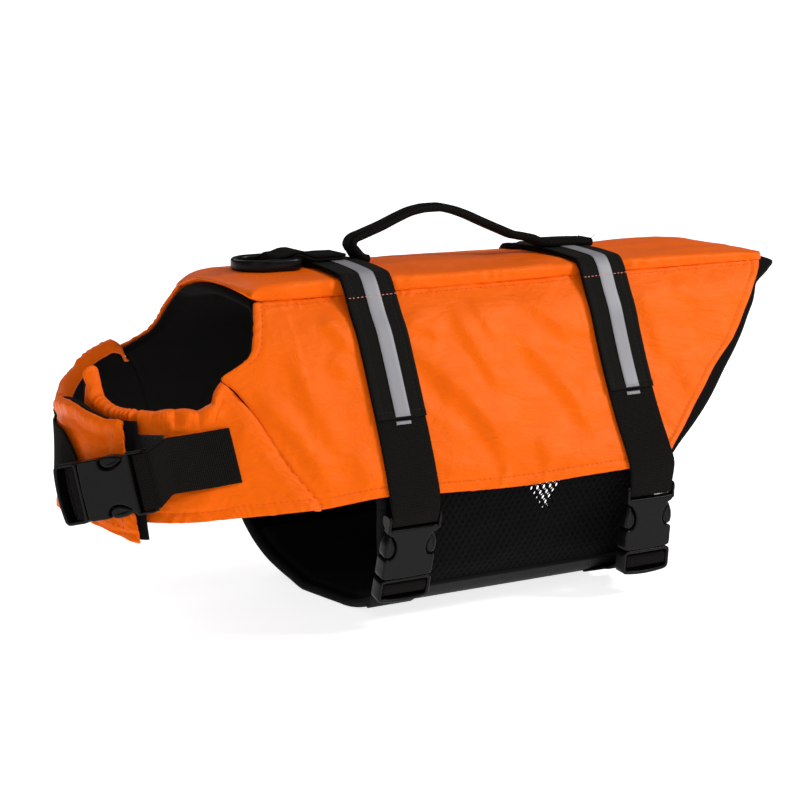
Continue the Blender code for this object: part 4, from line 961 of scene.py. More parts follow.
@dataclass(frozen=True)
class PlainCloth(Finish):
    """Matt woven polyester over foam: fine threads, a little dusty sheen at grazing angles."""

    specular: float = 0.035
    pitch: float = 1.1
    sheen: float = 0.02

    def weave(self, nodes: Nodes) -> None:
        """Plain weave as the product of two waves, roughened by noise."""
        weft = nodes.basket(*nodes.threads(), self.pitch)
        nodes.emboss(nodes.calc("ADD", weft, nodes.noise(420.0, 3.0)), 0.06)
        nodes.set("Sheen Weight", self.sheen)
        nodes.set("Sheen Roughness", 0.5)


@dataclass(frozen=True)
class RibbedWebbing(Finish):
    """Flat-woven polyester webbing: ribs across it, 1.5 mm apart, and cords along it."""

    specular: float = 0.035
    rib: float = 1.5
    cord: float = 1.9
    # light: the painted highlight colour that the crests of ribs and cords are tinted toward
    light: str = "#1A1816"

    def weave(self, nodes: Nodes) -> None:
        """Ribs across and cords along, as two waves whose crests are painted lighter: a painted
        highlight where they catch the light.
        """
        u, v = nodes.threads()
        cords, ribs = nodes.ripple(u, self.cord), nodes.ripple(v, self.rib)
        height = nodes.calc("MULTIPLY_ADD", cords, 0.45, ribs)
        rough = nodes.calc("ADD", height, nodes.noise(700.0, 3.0))
        nodes.emboss(rough, 0.16)
        # painted highlight: the higher a rib or cord stands, the lighter its colour
        nodes.tint(nodes.span(rough, -1.2, 1.6), self.colour, self.light)


@dataclass(frozen=True)
class HoledMesh(Finish):
    """Knitted sports mesh: staggered oval holes, see-through only where it lies single.

    The attribute single is 1 there and 0 where the net is doubled, so that its holes are closed,
    and their hollows are painted near black as painted shade. The holes are drawn about twice as
    far apart as real ones, so that they show.
    """

    specular: float = 0.035
    across: float = 5.4
    down: float = 8.6
    squash: float = 0.72
    hole: float = 1.5
    # depth: near-black painted shade for the hollows of the holes and for closed holes
    depth: str = "#050505"

    def weave(self, nodes: Nodes) -> None:
        """Cuts a hole wherever the nearest point of two staggered lattices is close."""
        u, v = nodes.threads()
        found = []
        for shift in (0.0, 0.5):
            squares = []
            for value, pitch, squash in ((u, self.across, 1.0), (v, self.down, self.squash)):
                part = nodes.calc("FRACT", nodes.calc("MULTIPLY_ADD", value, 1.0 / pitch, shift))
                away = nodes.calc("MULTIPLY", nodes.calc("SUBTRACT", part, 0.5), pitch * squash)
                squares.append(nodes.calc("POWER", away, 2.0))
            found.append(nodes.calc("ADD", *squares))
        nearest = nodes.calc("MINIMUM", *found)
        single = nodes.add("ShaderNodeAttribute", {"attribute_name": SINGLE}).outputs["Fac"]
        size = nodes.calc("MULTIPLY", single, self.hole**2)
        nodes.set("Alpha", nodes.calc("GREATER_THAN", nearest, size))
        # one ramp toward each hole's middle, used both as the bump and as painted shade darkening
        # the colour
        dip_and_shade = nodes.span(nearest, 0.2, self.hole**2 * 1.6)
        nodes.tint(dip_and_shade, self.depth, self.colour)
        nodes.emboss(dip_and_shade, 0.5)


@dataclass(frozen=True)
class BeadedTape(Finish):
    """Glass-bead reflective tape: pale grey with a faint diamond emboss and a silky gloss."""

    specular: float = 0.4
    pitch: float = 2.2

    def weave(self, nodes: Nodes) -> None:
        """Diamonds as the product of two diagonal waves, and bead grain as noise."""
        u, v = nodes.threads()
        diamond = nodes.basket(nodes.calc("ADD", u, v), nodes.calc("SUBTRACT", u, v), self.pitch)
        nodes.emboss(nodes.calc("ADD", diamond, nodes.noise(1500.0, 1.0)), 0.02)


@dataclass(frozen=True)
class MouldedAcetal(Finish):
    """Injection-moulded acetal with a spark-eroded grain: satin black with soft edge lights."""

    specular: float = 0.11
    grain: float = 0.05

    def weave(self, nodes: Nodes) -> None:
        """Mould grain as fine noise, and a slow drift of gloss from handling."""
        nodes.emboss(nodes.noise(1300.0, 3.0), self.grain)
        wear = nodes.noise(60.0, 3.0)
        gloss = nodes.span(wear, 0.3, 0.7, self.roughness - 0.05, self.roughness + 0.08)
        nodes.set("Roughness", gloss)


@dataclass(frozen=True)
class HookPile(Finish):
    """Nylon hook-and-loop pile: tiny hooks that scatter light and leave it uneven."""

    def weave(self, nodes: Nodes) -> None:
        """Hooks as sharp cells 1.2 mm apart."""
        cells = nodes.add("ShaderNodeTexVoronoi", {"Scale": 850.0}, vector=nodes.place())
        nodes.emboss(cells.outputs["Distance"], 0.6)
        nodes.set("Sheen Weight", 0.3)


@dataclass(frozen=True)
class TwistedThread(Finish):
    """Twisted polyester sewing thread: a silky line with fine diagonal plies."""

    specular: float = 0.2
    ply: float = 0.4

    def weave(self, nodes: Nodes) -> None:
        """Plies as a diagonal band wave."""
        scale = 1.0 / (self.ply * MM * 2.0 * math.pi) * 0.5
        settings = {"bands_direction": "DIAGONAL", "Scale": scale}
        plies = nodes.add("ShaderNodeTexWave", settings, vector=nodes.place())
        nodes.emboss(plies.outputs["Fac"], 0.1)


@dataclass(frozen=True)
class StudioPaper(Finish):
    """White seamless paper, lit from below where it runs off into the distance."""

    specular: float = 0.1
    near: float = 0.35
    far: float = 3.2
    low: float = 0.8
    glow: float = 1.0

    def weave(self, nodes: Nodes) -> None:
        """Glow that rises with the distance from the middle of the set, and a faint tooth."""
        away = nodes.add("ShaderNodeVectorMath", {"operation": "LENGTH"}, i0=nodes.place())
        rise = nodes.span(away.outputs["Value"], self.near, self.far, self.low, self.glow)
        nodes.set("Emission Color", linear(WHITE))
        nodes.set("Emission Strength", rise)
        nodes.emboss(nodes.noise(300.0, 2.0), 0.05)


NYLON = OxfordNylon("coated_oxford_nylon_orange", "#F4660A", 0.44)
INNER = PlainCloth("polyester_lining_black", "#100F0E", 0.85)
BASE_CLOTH = PlainCloth("padded_base_cloth_black", "#111111", 0.6)
HEM_BAND = PlainCloth("satin_band_black", "#12110E", 0.6, pitch=0.9)
BELT = RibbedWebbing("polyester_webbing_black", "#0C0B0A", 0.8)
# light: the painted highlight colour on the crests of the tape's ribs
TAPE_EDGE = RibbedWebbing("binding_tape_black", "#0D0D0E", 0.75, rib=1.1, cord=7.0, light="#202021")
NET = HoledMesh("knitted_mesh_black", "#0C0C0D", 0.75)
REFLECTIVE = BeadedTape("glass_bead_tape_grey", "#87868B", 0.45)
ACETAL = MouldedAcetal("moulded_acetal_black", "#0B0B0A", 0.27)
PILE = HookPile("hook_and_loop_black", "#0C0C0C", 0.9)
ORANGE_THREAD = TwistedThread("sewing_thread_orange", "#DB5608", 0.6)
PINK_THREAD = TwistedThread("sewing_thread_pink", "#D8887C", 0.6)
BLACK_THREAD = TwistedThread("sewing_thread_black", "#1A1A19", 0.55)
FLOOR = StudioPaper("studio_paper_white", "#F6F5F4", 0.9)


# The garment.


def strap_fade(x: np.ndarray) -> np.ndarray:
    """0 under the two cross straps and 1 clear of them, so that cloth lies flat beneath webbing."""
    fade = np.ones_like(x)
    for centre in (FRONT_STRAP_X, REAR_STRAP_X):
        fade = fade * (0.06 + 0.94 * ease(np.abs(x - centre), 17.0, 27.0))
    return fade


def wall(points: np.ndarray, thickness: float, outward: tuple) -> np.ndarray:
    """Closes an outer face into a wall with half-round long edges.

    Each row becomes a ring: the outer face, a half circle of radius thickness / 2 past its
    last column, the inner face a thickness behind, and a half circle back. The face is
    first drawn in by that radius on both sides, so its width stays what it was.

    Args:
        points: (rows, columns, 3) outer face.
        thickness: wall thickness.
        outward: rough direction of the outer face at the grid's middle.

    Returns:
        (rows, 2 * columns + 6, 3), a tube's rings.
    """
    columns = points.shape[1]
    radius = 0.5 * thickness
    width = np.linalg.norm(np.diff(points, axis=1), axis=-1).sum(1)
    inset = np.minimum(radius / width, 0.4)[:, None]
    place = (inset + (1.0 - 2.0 * inset) * np.linspace(0.0, 1.0, columns)) * (columns - 1)
    i = np.clip(place.astype(int), 0, columns - 2)
    t = (place - i)[..., None]
    near = np.take_along_axis(points, np.repeat(i[..., None], 3, 2), 1)
    far = np.take_along_axis(points, np.repeat(i[..., None] + 1, 3, 2), 1)
    outer = near * (1 - t) + far * t
    normal = facing(outer, outward) * grid_normals(outer)
    inner = outer - thickness * normal
    angle = np.radians([45.0, 0.0, -45.0])[None, :, None]
    edges = []
    for column, beyond in ((columns - 1, columns - 2), (0, 1)):
        middle = 0.5 * (outer[:, column] + inner[:, column])
        away = outer[:, column] - outer[:, beyond]
        away /= np.linalg.norm(away, axis=1, keepdims=True)
        round_edge = np.cos(angle) * away[:, None] + np.sin(angle) * normal[:, column][:, None]
        edges.append(middle[:, None] + radius * round_edge)
    return np.concatenate([outer, edges[0], inner[:, ::-1], edges[1][:, ::-1]], 1)


def solid_strip(
    name: str, points: np.ndarray, thickness: float, outward: tuple
) -> bpy.types.Object:
    """A closed strap or pad from its outer face; UV is across its ring and along its middle.

    Args:
        name: the object's name.
        points: (rows, columns, 3) outer face.
        thickness: wall thickness.
        outward: rough direction of the outer face at the grid's middle.

    Returns:
        The mesh object.
    """
    ring = wall(points, thickness, outward)
    rows, count = ring.shape[:2]
    columns = points.shape[1]
    j = np.arange(columns - 1)
    mirror = 2 * columns + 2 - j
    strip = np.stack([j, mirror, mirror - 1, j + 1], -1)
    fans = [
        [columns - 1, columns + 3, columns + 2, columns + 1, columns],
        [2 * columns + 2, 0, count - 1, count - 2, count - 3],
    ]
    last = (rows - 1) * count
    faces = quad_grid(rows, count, tube=True).tolist() + strip.tolist() + fans
    faces += (strip[:, ::-1] + last).tolist() + [[last + n for n in fan[::-1]] for fan in fans]
    if facing(ring[:, :columns], outward) < 0:
        faces = [face[::-1] for face in faces]
    middle = run_of(points[:, columns // 2])[:, None]
    return link_mesh(name, ring, faces, (run_lengths(ring)[0], middle))


def hem_drop(x: np.ndarray, depth: np.ndarray) -> np.ndarray:
    """How much lower than its section the side hangs: all of it at the hem, by the depth cubed."""
    held = np.clip(x, PANEL_HEM[0][0], PANEL_HEM[-1][0])
    return smooth(PANEL_HEM, held) * (depth / FLAP_HEM) ** 3


@dataclass
class Sided:
    """A piece that is made for each side, -1 on the left and 1 on the right."""

    side: int

    @property
    def label(self) -> str:
        """left or right."""
        return "left" if self.side < 0 else "right"

    @property
    def out(self) -> tuple:
        """Rough direction out of the side."""
        return (0.0, self.side, 0.2)

    @property
    def lead(self) -> float:
        """How far this side's chest seam lies ahead of the left one's."""
        return RIGHT_LEAD if self.side > 0 else 0.0


@dataclass
class SidePanel(Sided):
    """Outer cloth of one side, from the seam under the slab to the hem, with its folds."""

    rows: int = 100
    columns: int = 270
    seam_edge: float = -1.7
    hem_stitch: float = 7.0
    fold_shift: float = 0.0
    wrinkle: float = 0.5
    seam_gather: float = 0.55
    hem_gather: float = 0.5
    chest_gather: float = 0.6
    chest_groove: float = 0.9
    neck_gather: float = 0.5
    neck_hem_end: float = 50.0
    hem_groove: float = 0.55
    hem_roll: float = 0.25
    seed: int = 11

    def edges(self, depth: np.ndarray) -> tuple[np.ndarray, np.ndarray]:
        """X of the panel's front and rear edges at a depth."""
        return smooth(PANEL_FRONT, depth) - self.lead + 0.5 * SEAM_GAP, smooth(PANEL_REAR, depth)

    def row(self, depth: np.ndarray) -> np.ndarray:
        """The grid's row number at a depth, with its fraction."""
        return (self.rows - 1) * (depth - self.seam_edge) / (FLAP_HEM - self.seam_edge)

    def relief(self, x: np.ndarray, depth: np.ndarray) -> np.ndarray:
        """Height of the folds, puckers, hem channels and small wrinkles, from the tables above."""
        front, rear = self.edges(depth)
        fade = strap_fade(x)
        chest = ease(depth, self.neck_hem_end, 62.0)
        gathers = (
            (self.seam_gather * fade, x, depth, 10.0, 6.5),
            (self.hem_gather * fade, x, FLAP_HEM - depth, 12.0, 7.0),
            (self.chest_gather * chest, depth, x - front, 7.5, 7.0),
            (self.neck_gather * (1.0 - chest), depth, x - front, 9.0, 6.0),
        )
        height = creases(x, depth, PANEL_CREASES, self.fold_shift) * fade
        height = height + self.wrinkle * wander(x / 30.0, depth / 22.0, self.seed, 4) * fade
        for k, (size, along, away, pitch, reach) in enumerate(gathers):
            height = height + size * puckers(along, away, pitch, reach, self.seed + 1 + k)
        height = height - self.chest_groove * chest * bump(x - front, 0.0, 2.2)
        neck = np.where(depth < self.neck_hem_end, x - front, NOWHERE)
        for away in (FLAP_HEM - depth, rear - x, neck):
            height = height - self.hem_groove * bump(away, self.hem_stitch, 1.2)
            height = height + self.hem_roll * bump(away, 0.55 * self.hem_stitch, 2.2)
        return shallow(height)

    def sewing(self, points: np.ndarray) -> None:
        """Stitches along the slab's seam, the hem, the rear edge, the neck and the chest seam."""
        columns = self.columns - 1
        every = np.linspace(0.0, 1.0, 300)
        depth = self.seam_edge + (FLAP_HEM - self.seam_edge) * every
        front, rear = self.edges(depth)
        wide = rear - front
        neck = (depth > 6.0) & (depth < 46.0)
        chest = (depth > 58.0) & (depth < FLAP_HEM - 2.0)
        places = (
            (FLAP_HEM - self.hem_stitch, columns * (0.04 + 0.94 * every)),
            (np.clip(depth, 5.0, 146.0), columns * (1.0 - self.hem_stitch / wide)),
            (depth[neck], columns * self.hem_stitch / wide[neck]),
            (2.6, columns * (0.01 + 0.98 * every)),
        )
        lines = [sewn(points, self.row(down), column, self.out) for down, column in places]
        stitches(f"panel_sewing_{self.label}", lines, PANEL_STITCH, ORANGE_THREAD)
        seam = [sewn(points, self.row(depth[chest]), columns * 1.5 / wide[chest], self.out)]
        stitches(f"chest_sewing_{self.label}", seam, CHEST_STITCH, ORANGE_THREAD)

    def points(self) -> tuple[np.ndarray, np.ndarray, np.ndarray]:
        """The outer face as a grid, with its X and depth on the pattern."""
        depth = np.linspace(self.seam_edge, FLAP_HEM, self.rows)[:, None]
        front, rear = self.edges(depth)
        x = front + (rear - front) * np.linspace(0.0, 1.0, self.columns)[None]
        hem = hem_drop(x, depth)
        depth = np.broadcast_to(depth, x.shape)
        flat = body_point(NOSE_START_X - x, depth + hem, 0.0, self.side)
        return relief(flat, self.relief(x, depth), self.out), x, depth

    def build(self) -> bpy.types.Object:
        """The panel as cloth of the cover's thickness."""
        points, x, depth = self.points()
        made = surface(f"side_panel_{self.label}", points, (x, depth), self.out)
        thicken(made, COVER)
        self.sewing(points)
        return finish_piece(made, NYLON, (f"side_cover_{self.label}",))


@dataclass
class ChestFlap(Sided):
    """One chest flap: cloth turned over foam at its upper edge, gathered there in ruffles."""

    columns: int = 190
    face_rows: int = 74
    turn_rows: int = 15
    turn: float = 4.5
    seam_gap: float = 1.0
    patch_along: tuple = (112.0, 146.0)
    patch_depth: tuple = (90.5, 107.0)
    scallop: float = 2.3
    scallop_pitch: float = 18.6
    wave: float = 0.9
    end_gather: float = 0.9
    hem_stitch: float = 6.5
    strap_press: float = 0.92
    reach: float = 0.0
    seed: int = 31

    @property
    def table(self) -> tuple:
        """Upper edge and hem along the cloth."""
        return RIGHT_FLAP if self.side > 0 else LEFT_FLAP

    def layout(
        self, under: np.ndarray, share: np.ndarray, reach: float, gap: float
    ) -> tuple[np.ndarray, np.ndarray, np.ndarray]:
        """Places of the flap's grid on the cloth.

        Args:
            under: (rows, 1) distance below the upper edge at the top of the flap.
            share: (rows, 1) share of the way to the hem.
            reach: how much farther than the cover it ends.
            gap: distance from the chest seam.

        Returns:
            Distance along the cloth, depth, and depth of the upper edge there.
        """
        slant = RIGHT_FLAP_SLANT if self.side > 0 else 0.0
        top = self.table[0][1]
        seam_depth = np.minimum(top + share * (FLAP_HEM - top) + under, FLAP_HEM)
        start = NOSE_START_X - smooth(PANEL_FRONT, seam_depth) + self.lead + gap
        end = self.table[-1][0] + slant * share + reach * (1.0 - 0.5 * share)
        distance = start + (end - start) * np.linspace(0.0, 1.0, self.columns)[None] ** 1.08
        place = distance - slant * share * ease(distance, 150.0, end.max())
        place = np.clip(place, self.table[0][0], self.table[-1][0])
        edge = smooth(self.table, place)
        hem = smooth(self.table, place, 2)
        depth = edge + under * (1.0 - share) + (hem - edge) * share
        return distance, depth, edge

    def ruffles(self, w: np.ndarray, below: np.ndarray, end: np.ndarray) -> np.ndarray:
        """Gathers of the turned edge, the groove under its roll and the flap's own soft folds."""
        roll = bump(np.maximum(below - 4.0, 0.0), 0.0, 10.0)
        none = below * 0.0
        if self.side < 0:
            near = 1.0 - ease(w, 116.0, 126.0)
            stray = 2.0 * wander(w / 20.0, 0.0 * w, self.seed, 1)
            wave = np.abs(np.cos(math.pi * (w - 94.5 + stray) / self.scallop_pitch)) ** 0.55
            deep = bump(np.maximum(below - 3.0, 0.0), 0.0, 15.0)
            height = self.scallop * (wave - 0.72) * near * ease(w, 66.0, 80.0) * deep
            coarse, fine = (1.15 * (1.0 - near), 7.4), (0.3, 3.6)
        else:
            height = none
            coarse, fine = (1.35, 10.5), (0.45, 4.4)
        for (size, pitch), seed in ((coarse, self.seed), (fine, self.seed + 5)):
            height = height + size * puckers(w, none, pitch, 30.0, seed) * roll
        height = height + 0.9 * bump(below, 5.5, 4.0) - 0.8 * bump(below, 13.0, 3.0)
        soft = wander(w / 34.0, below / 20.0, self.seed + 1, 4)
        height = height + self.wave * soft * ease(below, 2.0, 14.0)
        if self.side > 0:
            tail = end - w
            gathers = puckers(below, tail, 5.2, 7.0, self.seed + 2)
            height = height + self.end_gather * gathers * ease(below, 4.0, 12.0)
            height = height + 0.7 * bump(tail, 5.0, 4.0) - 0.8 * bump(tail, 12.0, 3.0)
        return height

    def under_straps(self, w: np.ndarray, depth: np.ndarray) -> np.ndarray:
        """1 where webbing, and on the left also the hook patch, presses the flap flat."""
        if self.side > 0:
            along = ease(w, 84.0, 92.0) * (1.0 - ease(w, 224.0, 236.0))
            away = np.abs(depth - smooth(RIGHT_STRAP_ROUTE, w))
            return along * (1.0 - ease(away, 17.0, 24.0))
        strap = (1.0 - ease(w, 104.0, 118.0)) * ease(w, 54.0, 62.0)
        strap = strap * (1.0 - ease(np.abs(depth - 108.0), 17.0, 24.0))
        patch = ease(w, 104.0, 112.0) * (1.0 - ease(w, 142.0, 150.0))
        return np.maximum(strap, patch * (1.0 - ease(np.abs(depth - 98.0), 9.0, 14.0)))

    def relief(self, w: np.ndarray, depth: np.ndarray, below: np.ndarray) -> np.ndarray:
        """The flap's heights: ruffles, channels at the seam and the hem, creases."""
        height = self.ruffles(w, below, w[:, -1:])
        from_seam = w - w[:, :1]
        height = height - 1.1 * bump(from_seam, 0.0, 3.0) + 0.5 * bump(from_seam, 11.0, 5.0)
        height = height + 0.7 * puckers(depth, from_seam, 6.5, 7.0, self.seed + 3)
        hem = smooth(self.table, np.clip(w, self.table[0][0], self.table[-1][0]), 2) - depth
        height = height - 0.6 * bump(hem, self.hem_stitch, 1.2)
        height = height + 0.7 * puckers(w, hem, 9.0, 7.0, self.seed + 4)
        table = LEFT_FLAP_CREASES if self.side < 0 else RIGHT_FLAP_CREASES
        height = height + creases(w, depth, table)
        return shallow(height * (1.0 - self.strap_press * self.under_straps(w, depth)), -2.2)

    def cover(self) -> bpy.types.Object:
        """The outer cloth, turned over the lining along its upper edge."""
        fold = COVER + FLAP_LAYER_GAP + FLAP_LINING + FLAP_LAYER_GAP + COVER
        angle = np.linspace(-0.5 * math.pi, 0.5 * math.pi, self.turn_rows)
        face = np.zeros(self.face_rows)
        down = np.linspace(0.0, 1.0, self.face_rows + 1)[1:]
        under = np.concatenate([[6.5, 5.0], self.turn * (1.0 - np.cos(angle)), face + self.turn])
        out = np.concatenate([[-fold, -fold], 0.5 * fold * (np.sin(angle) - 1.0), face])[:, None]
        share = np.concatenate([np.zeros(self.turn_rows + 2), down])[:, None]
        distance, depth, edge = self.layout(under[:, None], share, self.reach, self.seam_gap)
        below = depth - edge + np.where(out < 0.0, -np.abs(out) * 0.6, 0.0)
        lift = overlap_shift(distance, depth) if self.side > 0 else 0.0
        least = 1.0 if self.side > 0 else 0.3
        shrink = least + (1.0 - least) * ease(distance - distance[:, :1], 0.0, 12.0)
        shrink = shrink * (1.0 - 0.72 * self.level(distance))
        flat = body_point(distance, depth, out * shrink + lift, self.side)
        inside = np.clip(1.0 + out / fold, 0.0, 1.0)
        points = relief(flat, self.relief(distance, depth, below) * inside, self.out)
        run = np.cumsum(np.linalg.norm(np.diff(flat, axis=0), axis=-1), axis=0)
        v = np.concatenate([np.zeros((1, self.columns)), run])
        made = surface(f"chest_flap_{self.label}", points, (distance, v), self.out)
        thicken(made, COVER)
        self.sewing(points, distance, depth)
        return finish_piece(made, NYLON, (f"flap_cover_{self.label}",))

    def level(self, distance: np.ndarray) -> np.ndarray:
        """1 where the right flap's lining is sewn level with its cover, past the left flap."""
        return ease(distance, 140.0, 196.0) if self.side > 0 else 0.0 * distance

    def sewing(self, points: np.ndarray, distance: np.ndarray, depth: np.ndarray) -> None:
        """Stitches along the hem, and on the right flap along its free end."""
        top = self.turn_rows + 2
        down = np.linspace(top + 4.0, len(points) - 2.0, 200)
        along = np.linspace(4.0, self.columns - 4.0, 300)
        long = float(np.mean(distance[:, -1] - distance[:, 0]))
        tall = float(np.mean(depth[-1] - depth[top]))
        hem = len(points) - 1 - self.hem_stitch * self.face_rows / tall
        lines = [sewn(points, hem, along, self.out)]
        if self.side > 0:
            lines.append(sewn(points, down, (self.columns - 1) * (1.0 - 7.0 / long), self.out))
        stitches(f"flap_sewing_{self.label}", lines, PANEL_STITCH, ORANGE_THREAD)

    def patch(self) -> bpy.types.Object:
        """Strip of hook pile sewn on the cover, under the other flap's edge."""
        distance = np.linspace(*self.patch_along, 20)[:, None]
        depth = np.linspace(*self.patch_depth, 9)[None] + 0.0 * distance
        flat = body_point(distance + 0.0 * depth, depth, 1.7, self.side)
        made = solid_strip(f"hook_patch_{self.label}", flat, 1.2, self.out)
        return finish_piece(made, PILE)

    def lining(self) -> bpy.types.Object:
        """The foam and inner cloth behind the cover."""
        share = np.linspace(0.02, 1.0, 40)[:, None]
        distance, depth, _ = self.layout(np.full_like(share, 5.0), share, self.reach, 0.7)
        lift = overlap_shift(distance, depth) if self.side > 0 else 0.0
        depth = depth - 2.0 * share - 6.2 * self.level(distance) * (1.0 - share)
        flat = body_point(distance, depth, -COVER - FLAP_LAYER_GAP + lift, self.side)
        made = solid_strip(f"flap_padding_{self.label}", flat, FLAP_LINING, self.out)
        return finish_piece(made, INNER, (f"flap_lining_{self.label}",))


FRONT_ROUND = 12.0
FRONT_LIFT = 4.2


def front_lift(ahead: np.ndarray, y: np.ndarray) -> np.ndarray:
    """How far the back's front end curls up: most at its edge, little at the right corner."""
    corner = ease(y, 0.3 * SLAB_HALF_WIDTH, 0.9 * SLAB_HALF_WIDTH)
    return FRONT_LIFT * (1.0 - ahead) ** 2 * (1.0 - 0.75 * corner)


@dataclass
class BackSlab:
    """Foam slab in its cloth along the spine, rounded at its sides and thin at its ends."""

    rows: int = 250
    front_edge: float = 0.22
    wave: float = 0.6
    tail_wave: float = 0.8
    side_gather: float = 1.1
    webbing_dent: float = 1.1
    foot_dent: float = 0.8
    feet: tuple = (-30.0, 148.0)
    seed: int = 61

    def relief(self, x: np.ndarray, y: np.ndarray, z_share: np.ndarray) -> np.ndarray:
        """Soft waves of the cloth over foam, puckers on the side walls, dips beneath webbing."""
        fade = strap_fade(x)
        tail = fade * ease(x, 40.0, 120.0)
        side = np.clip(1.0 - np.abs(z_share), 0.0, 1.0)
        gathers = puckers(x + 13.0 * np.sign(y), side * 0.0, 21.0, 9.0, self.seed + 1)
        height = self.wave * wander(x / 42.0, y / 30.0, self.seed, 3) * fade
        height = height + self.tail_wave * wander(x / 70.0, y / 11.0, self.seed + 4, 2) * tail
        height = height + self.side_gather * gathers * side * fade
        height = height - self.webbing_dent * (1.0 - fade)
        for foot in self.feet:
            height = height - self.foot_dent * bump(x, foot, 20.0) * bump(y, 0.0, 12.0)
        return height

    def build(self) -> bpy.types.Object:
        """The slab as a closed loft of rounded sections."""
        t = np.linspace(0.0, 1.0, self.rows)
        share = (0.5 - 0.5 * np.cos(math.pi * t)) * 0.35 + 0.65 * t
        angles = np.linspace(-90.0, 90.0, 15)
        middle = np.linspace(0.9, -0.9, 27)
        parts = []
        half_turn = (("right", angles), ("top", middle))
        back = (("left", angles[::-1]), ("under", middle[::-1]))
        for kind, places in half_turn + back:
            guess = SLAB_HALF_WIDTH * (places if kind in ("top", "under") else np.ones_like(places))
            guess = -guess if kind == "left" else guess
            front, rear = slab_ends(guess)
            x = front[None] + (rear - front)[None] * share[:, None]
            y = np.broadcast_to(guess, x.shape)
            if kind in ("right", "left"):
                half, z = slab_side(x, np.broadcast_to(places, x.shape), 0.0)
                y = half * (1.0 if kind == "right" else -1.0)
                upright = np.broadcast_to(np.sin(np.radians(places)), x.shape)
            else:
                z = slab_top(x, y, 0.0) if kind == "top" else slab_under(x, y) + CHORD_GAP
                upright = np.full(x.shape, 1.0 if kind == "top" else -1.0)
            parts.append(np.stack([x, y, z, upright], -1))
        grid = np.concatenate(parts, 1)
        points = grid[..., :3].copy()
        ahead = np.clip((points[..., 0] - points[:1, :, 0]) / FRONT_ROUND, 0.0, 1.0)
        swell = self.front_edge + (1.0 - self.front_edge) * np.sqrt(1.0 - (1.0 - ahead) ** 2)
        floor = slab_under(points[..., 0], points[..., 1]) + CHORD_GAP
        rise = (points[..., 2] - floor) * swell
        points[..., 2] = floor + front_lift(ahead, points[..., 1]) + rise
        above = np.where(grid[..., 3] < -0.9, 0.0, 1.0)
        height = self.relief(grid[..., 0], grid[..., 1], grid[..., 3]) * above
        ends = ease(share, 0.0, 0.02) * (1.0 - ease(share, 0.98, 1.0))
        top_column = len(angles) + len(middle) // 2
        normal = grid_normals(points)
        if normal[self.rows // 2, top_column, 2] < 0:
            normal = -normal
        points = points + normal * (height * ends[:, None])[..., None]
        made = surface("back_slab_cloth", points, tube=True)
        self.point_out(made)
        return finish_piece(made, NYLON, ("back_slab",))

    def point_out(self, made: bpy.types.Object) -> None:
        """Turns the faces outward where the loft's order turned them in."""
        middle = sum((Vector(c) for c in made.bound_box), Vector()) / 8
        top = max(made.data.polygons, key=lambda face: face.center.z)
        if top.normal.dot(top.center - middle) < 0:
            made.data.flip_normals()


@dataclass
class BodyLining:
    """Foam and inner cloth of the back and both sides, in one arch from hem to hem."""

    side_rows: int = 44
    centre_rows: int = 19
    columns: int = 120
    tail: float = 6.0
    spine_end: float = 314.0
    spine_round: float = 9.0

    def build(self) -> bpy.types.Object:
        """The arch, with rounded front and rear edges."""
        depth = np.linspace(0.8, FLAP_HEM, self.side_rows)
        along = np.linspace(0.0, 1.0, self.columns)[None]
        arch = []
        for side in (-1, 0, 1):
            if side:
                place = (depth[::-1] if side < 0 else depth)[:, None]
                lead = RIGHT_LEAD if side > 0 else 0.0
                front = smooth(PANEL_FRONT, place) - lead + SEAM_GAP
                rear = smooth(PANEL_REAR, place) + smooth(PANEL_REAR, place, 2)
                below, above = ease(place, 12.0, 40.0), 1.0 - ease(place, 112.0, 146.0)
                rear = rear + self.tail * below * above
                x = front + (rear - front) * along
                down = place + hem_drop(x, place)
                arch.append(body_point(NOSE_START_X - x, down, -COVER - 1.5 * SEAM_GAP, side))
            else:
                place = np.linspace(-0.92, 0.92, self.centre_rows)[:, None] * SLAB_HALF_WIDTH
                front = slab_ends(place)[0] + 2.0
                rear = self.spine_end + self.spine_round * (1.0 - (place / SLAB_HALF_WIDTH) ** 2)
                x = front + (rear - front) * along
                ahead = np.clip((x - front + 2.0) / FRONT_ROUND, 0.0, 1.0)
                height = slab_under(x, place) + front_lift(ahead, place)
                arch.append(np.stack([x, place + 0.0 * x, height], -1))
        points = np.concatenate(arch, 0)
        made = solid_strip("body_padding", points, LINING, UP)
        return finish_piece(made, INNER, ("body_lining",))


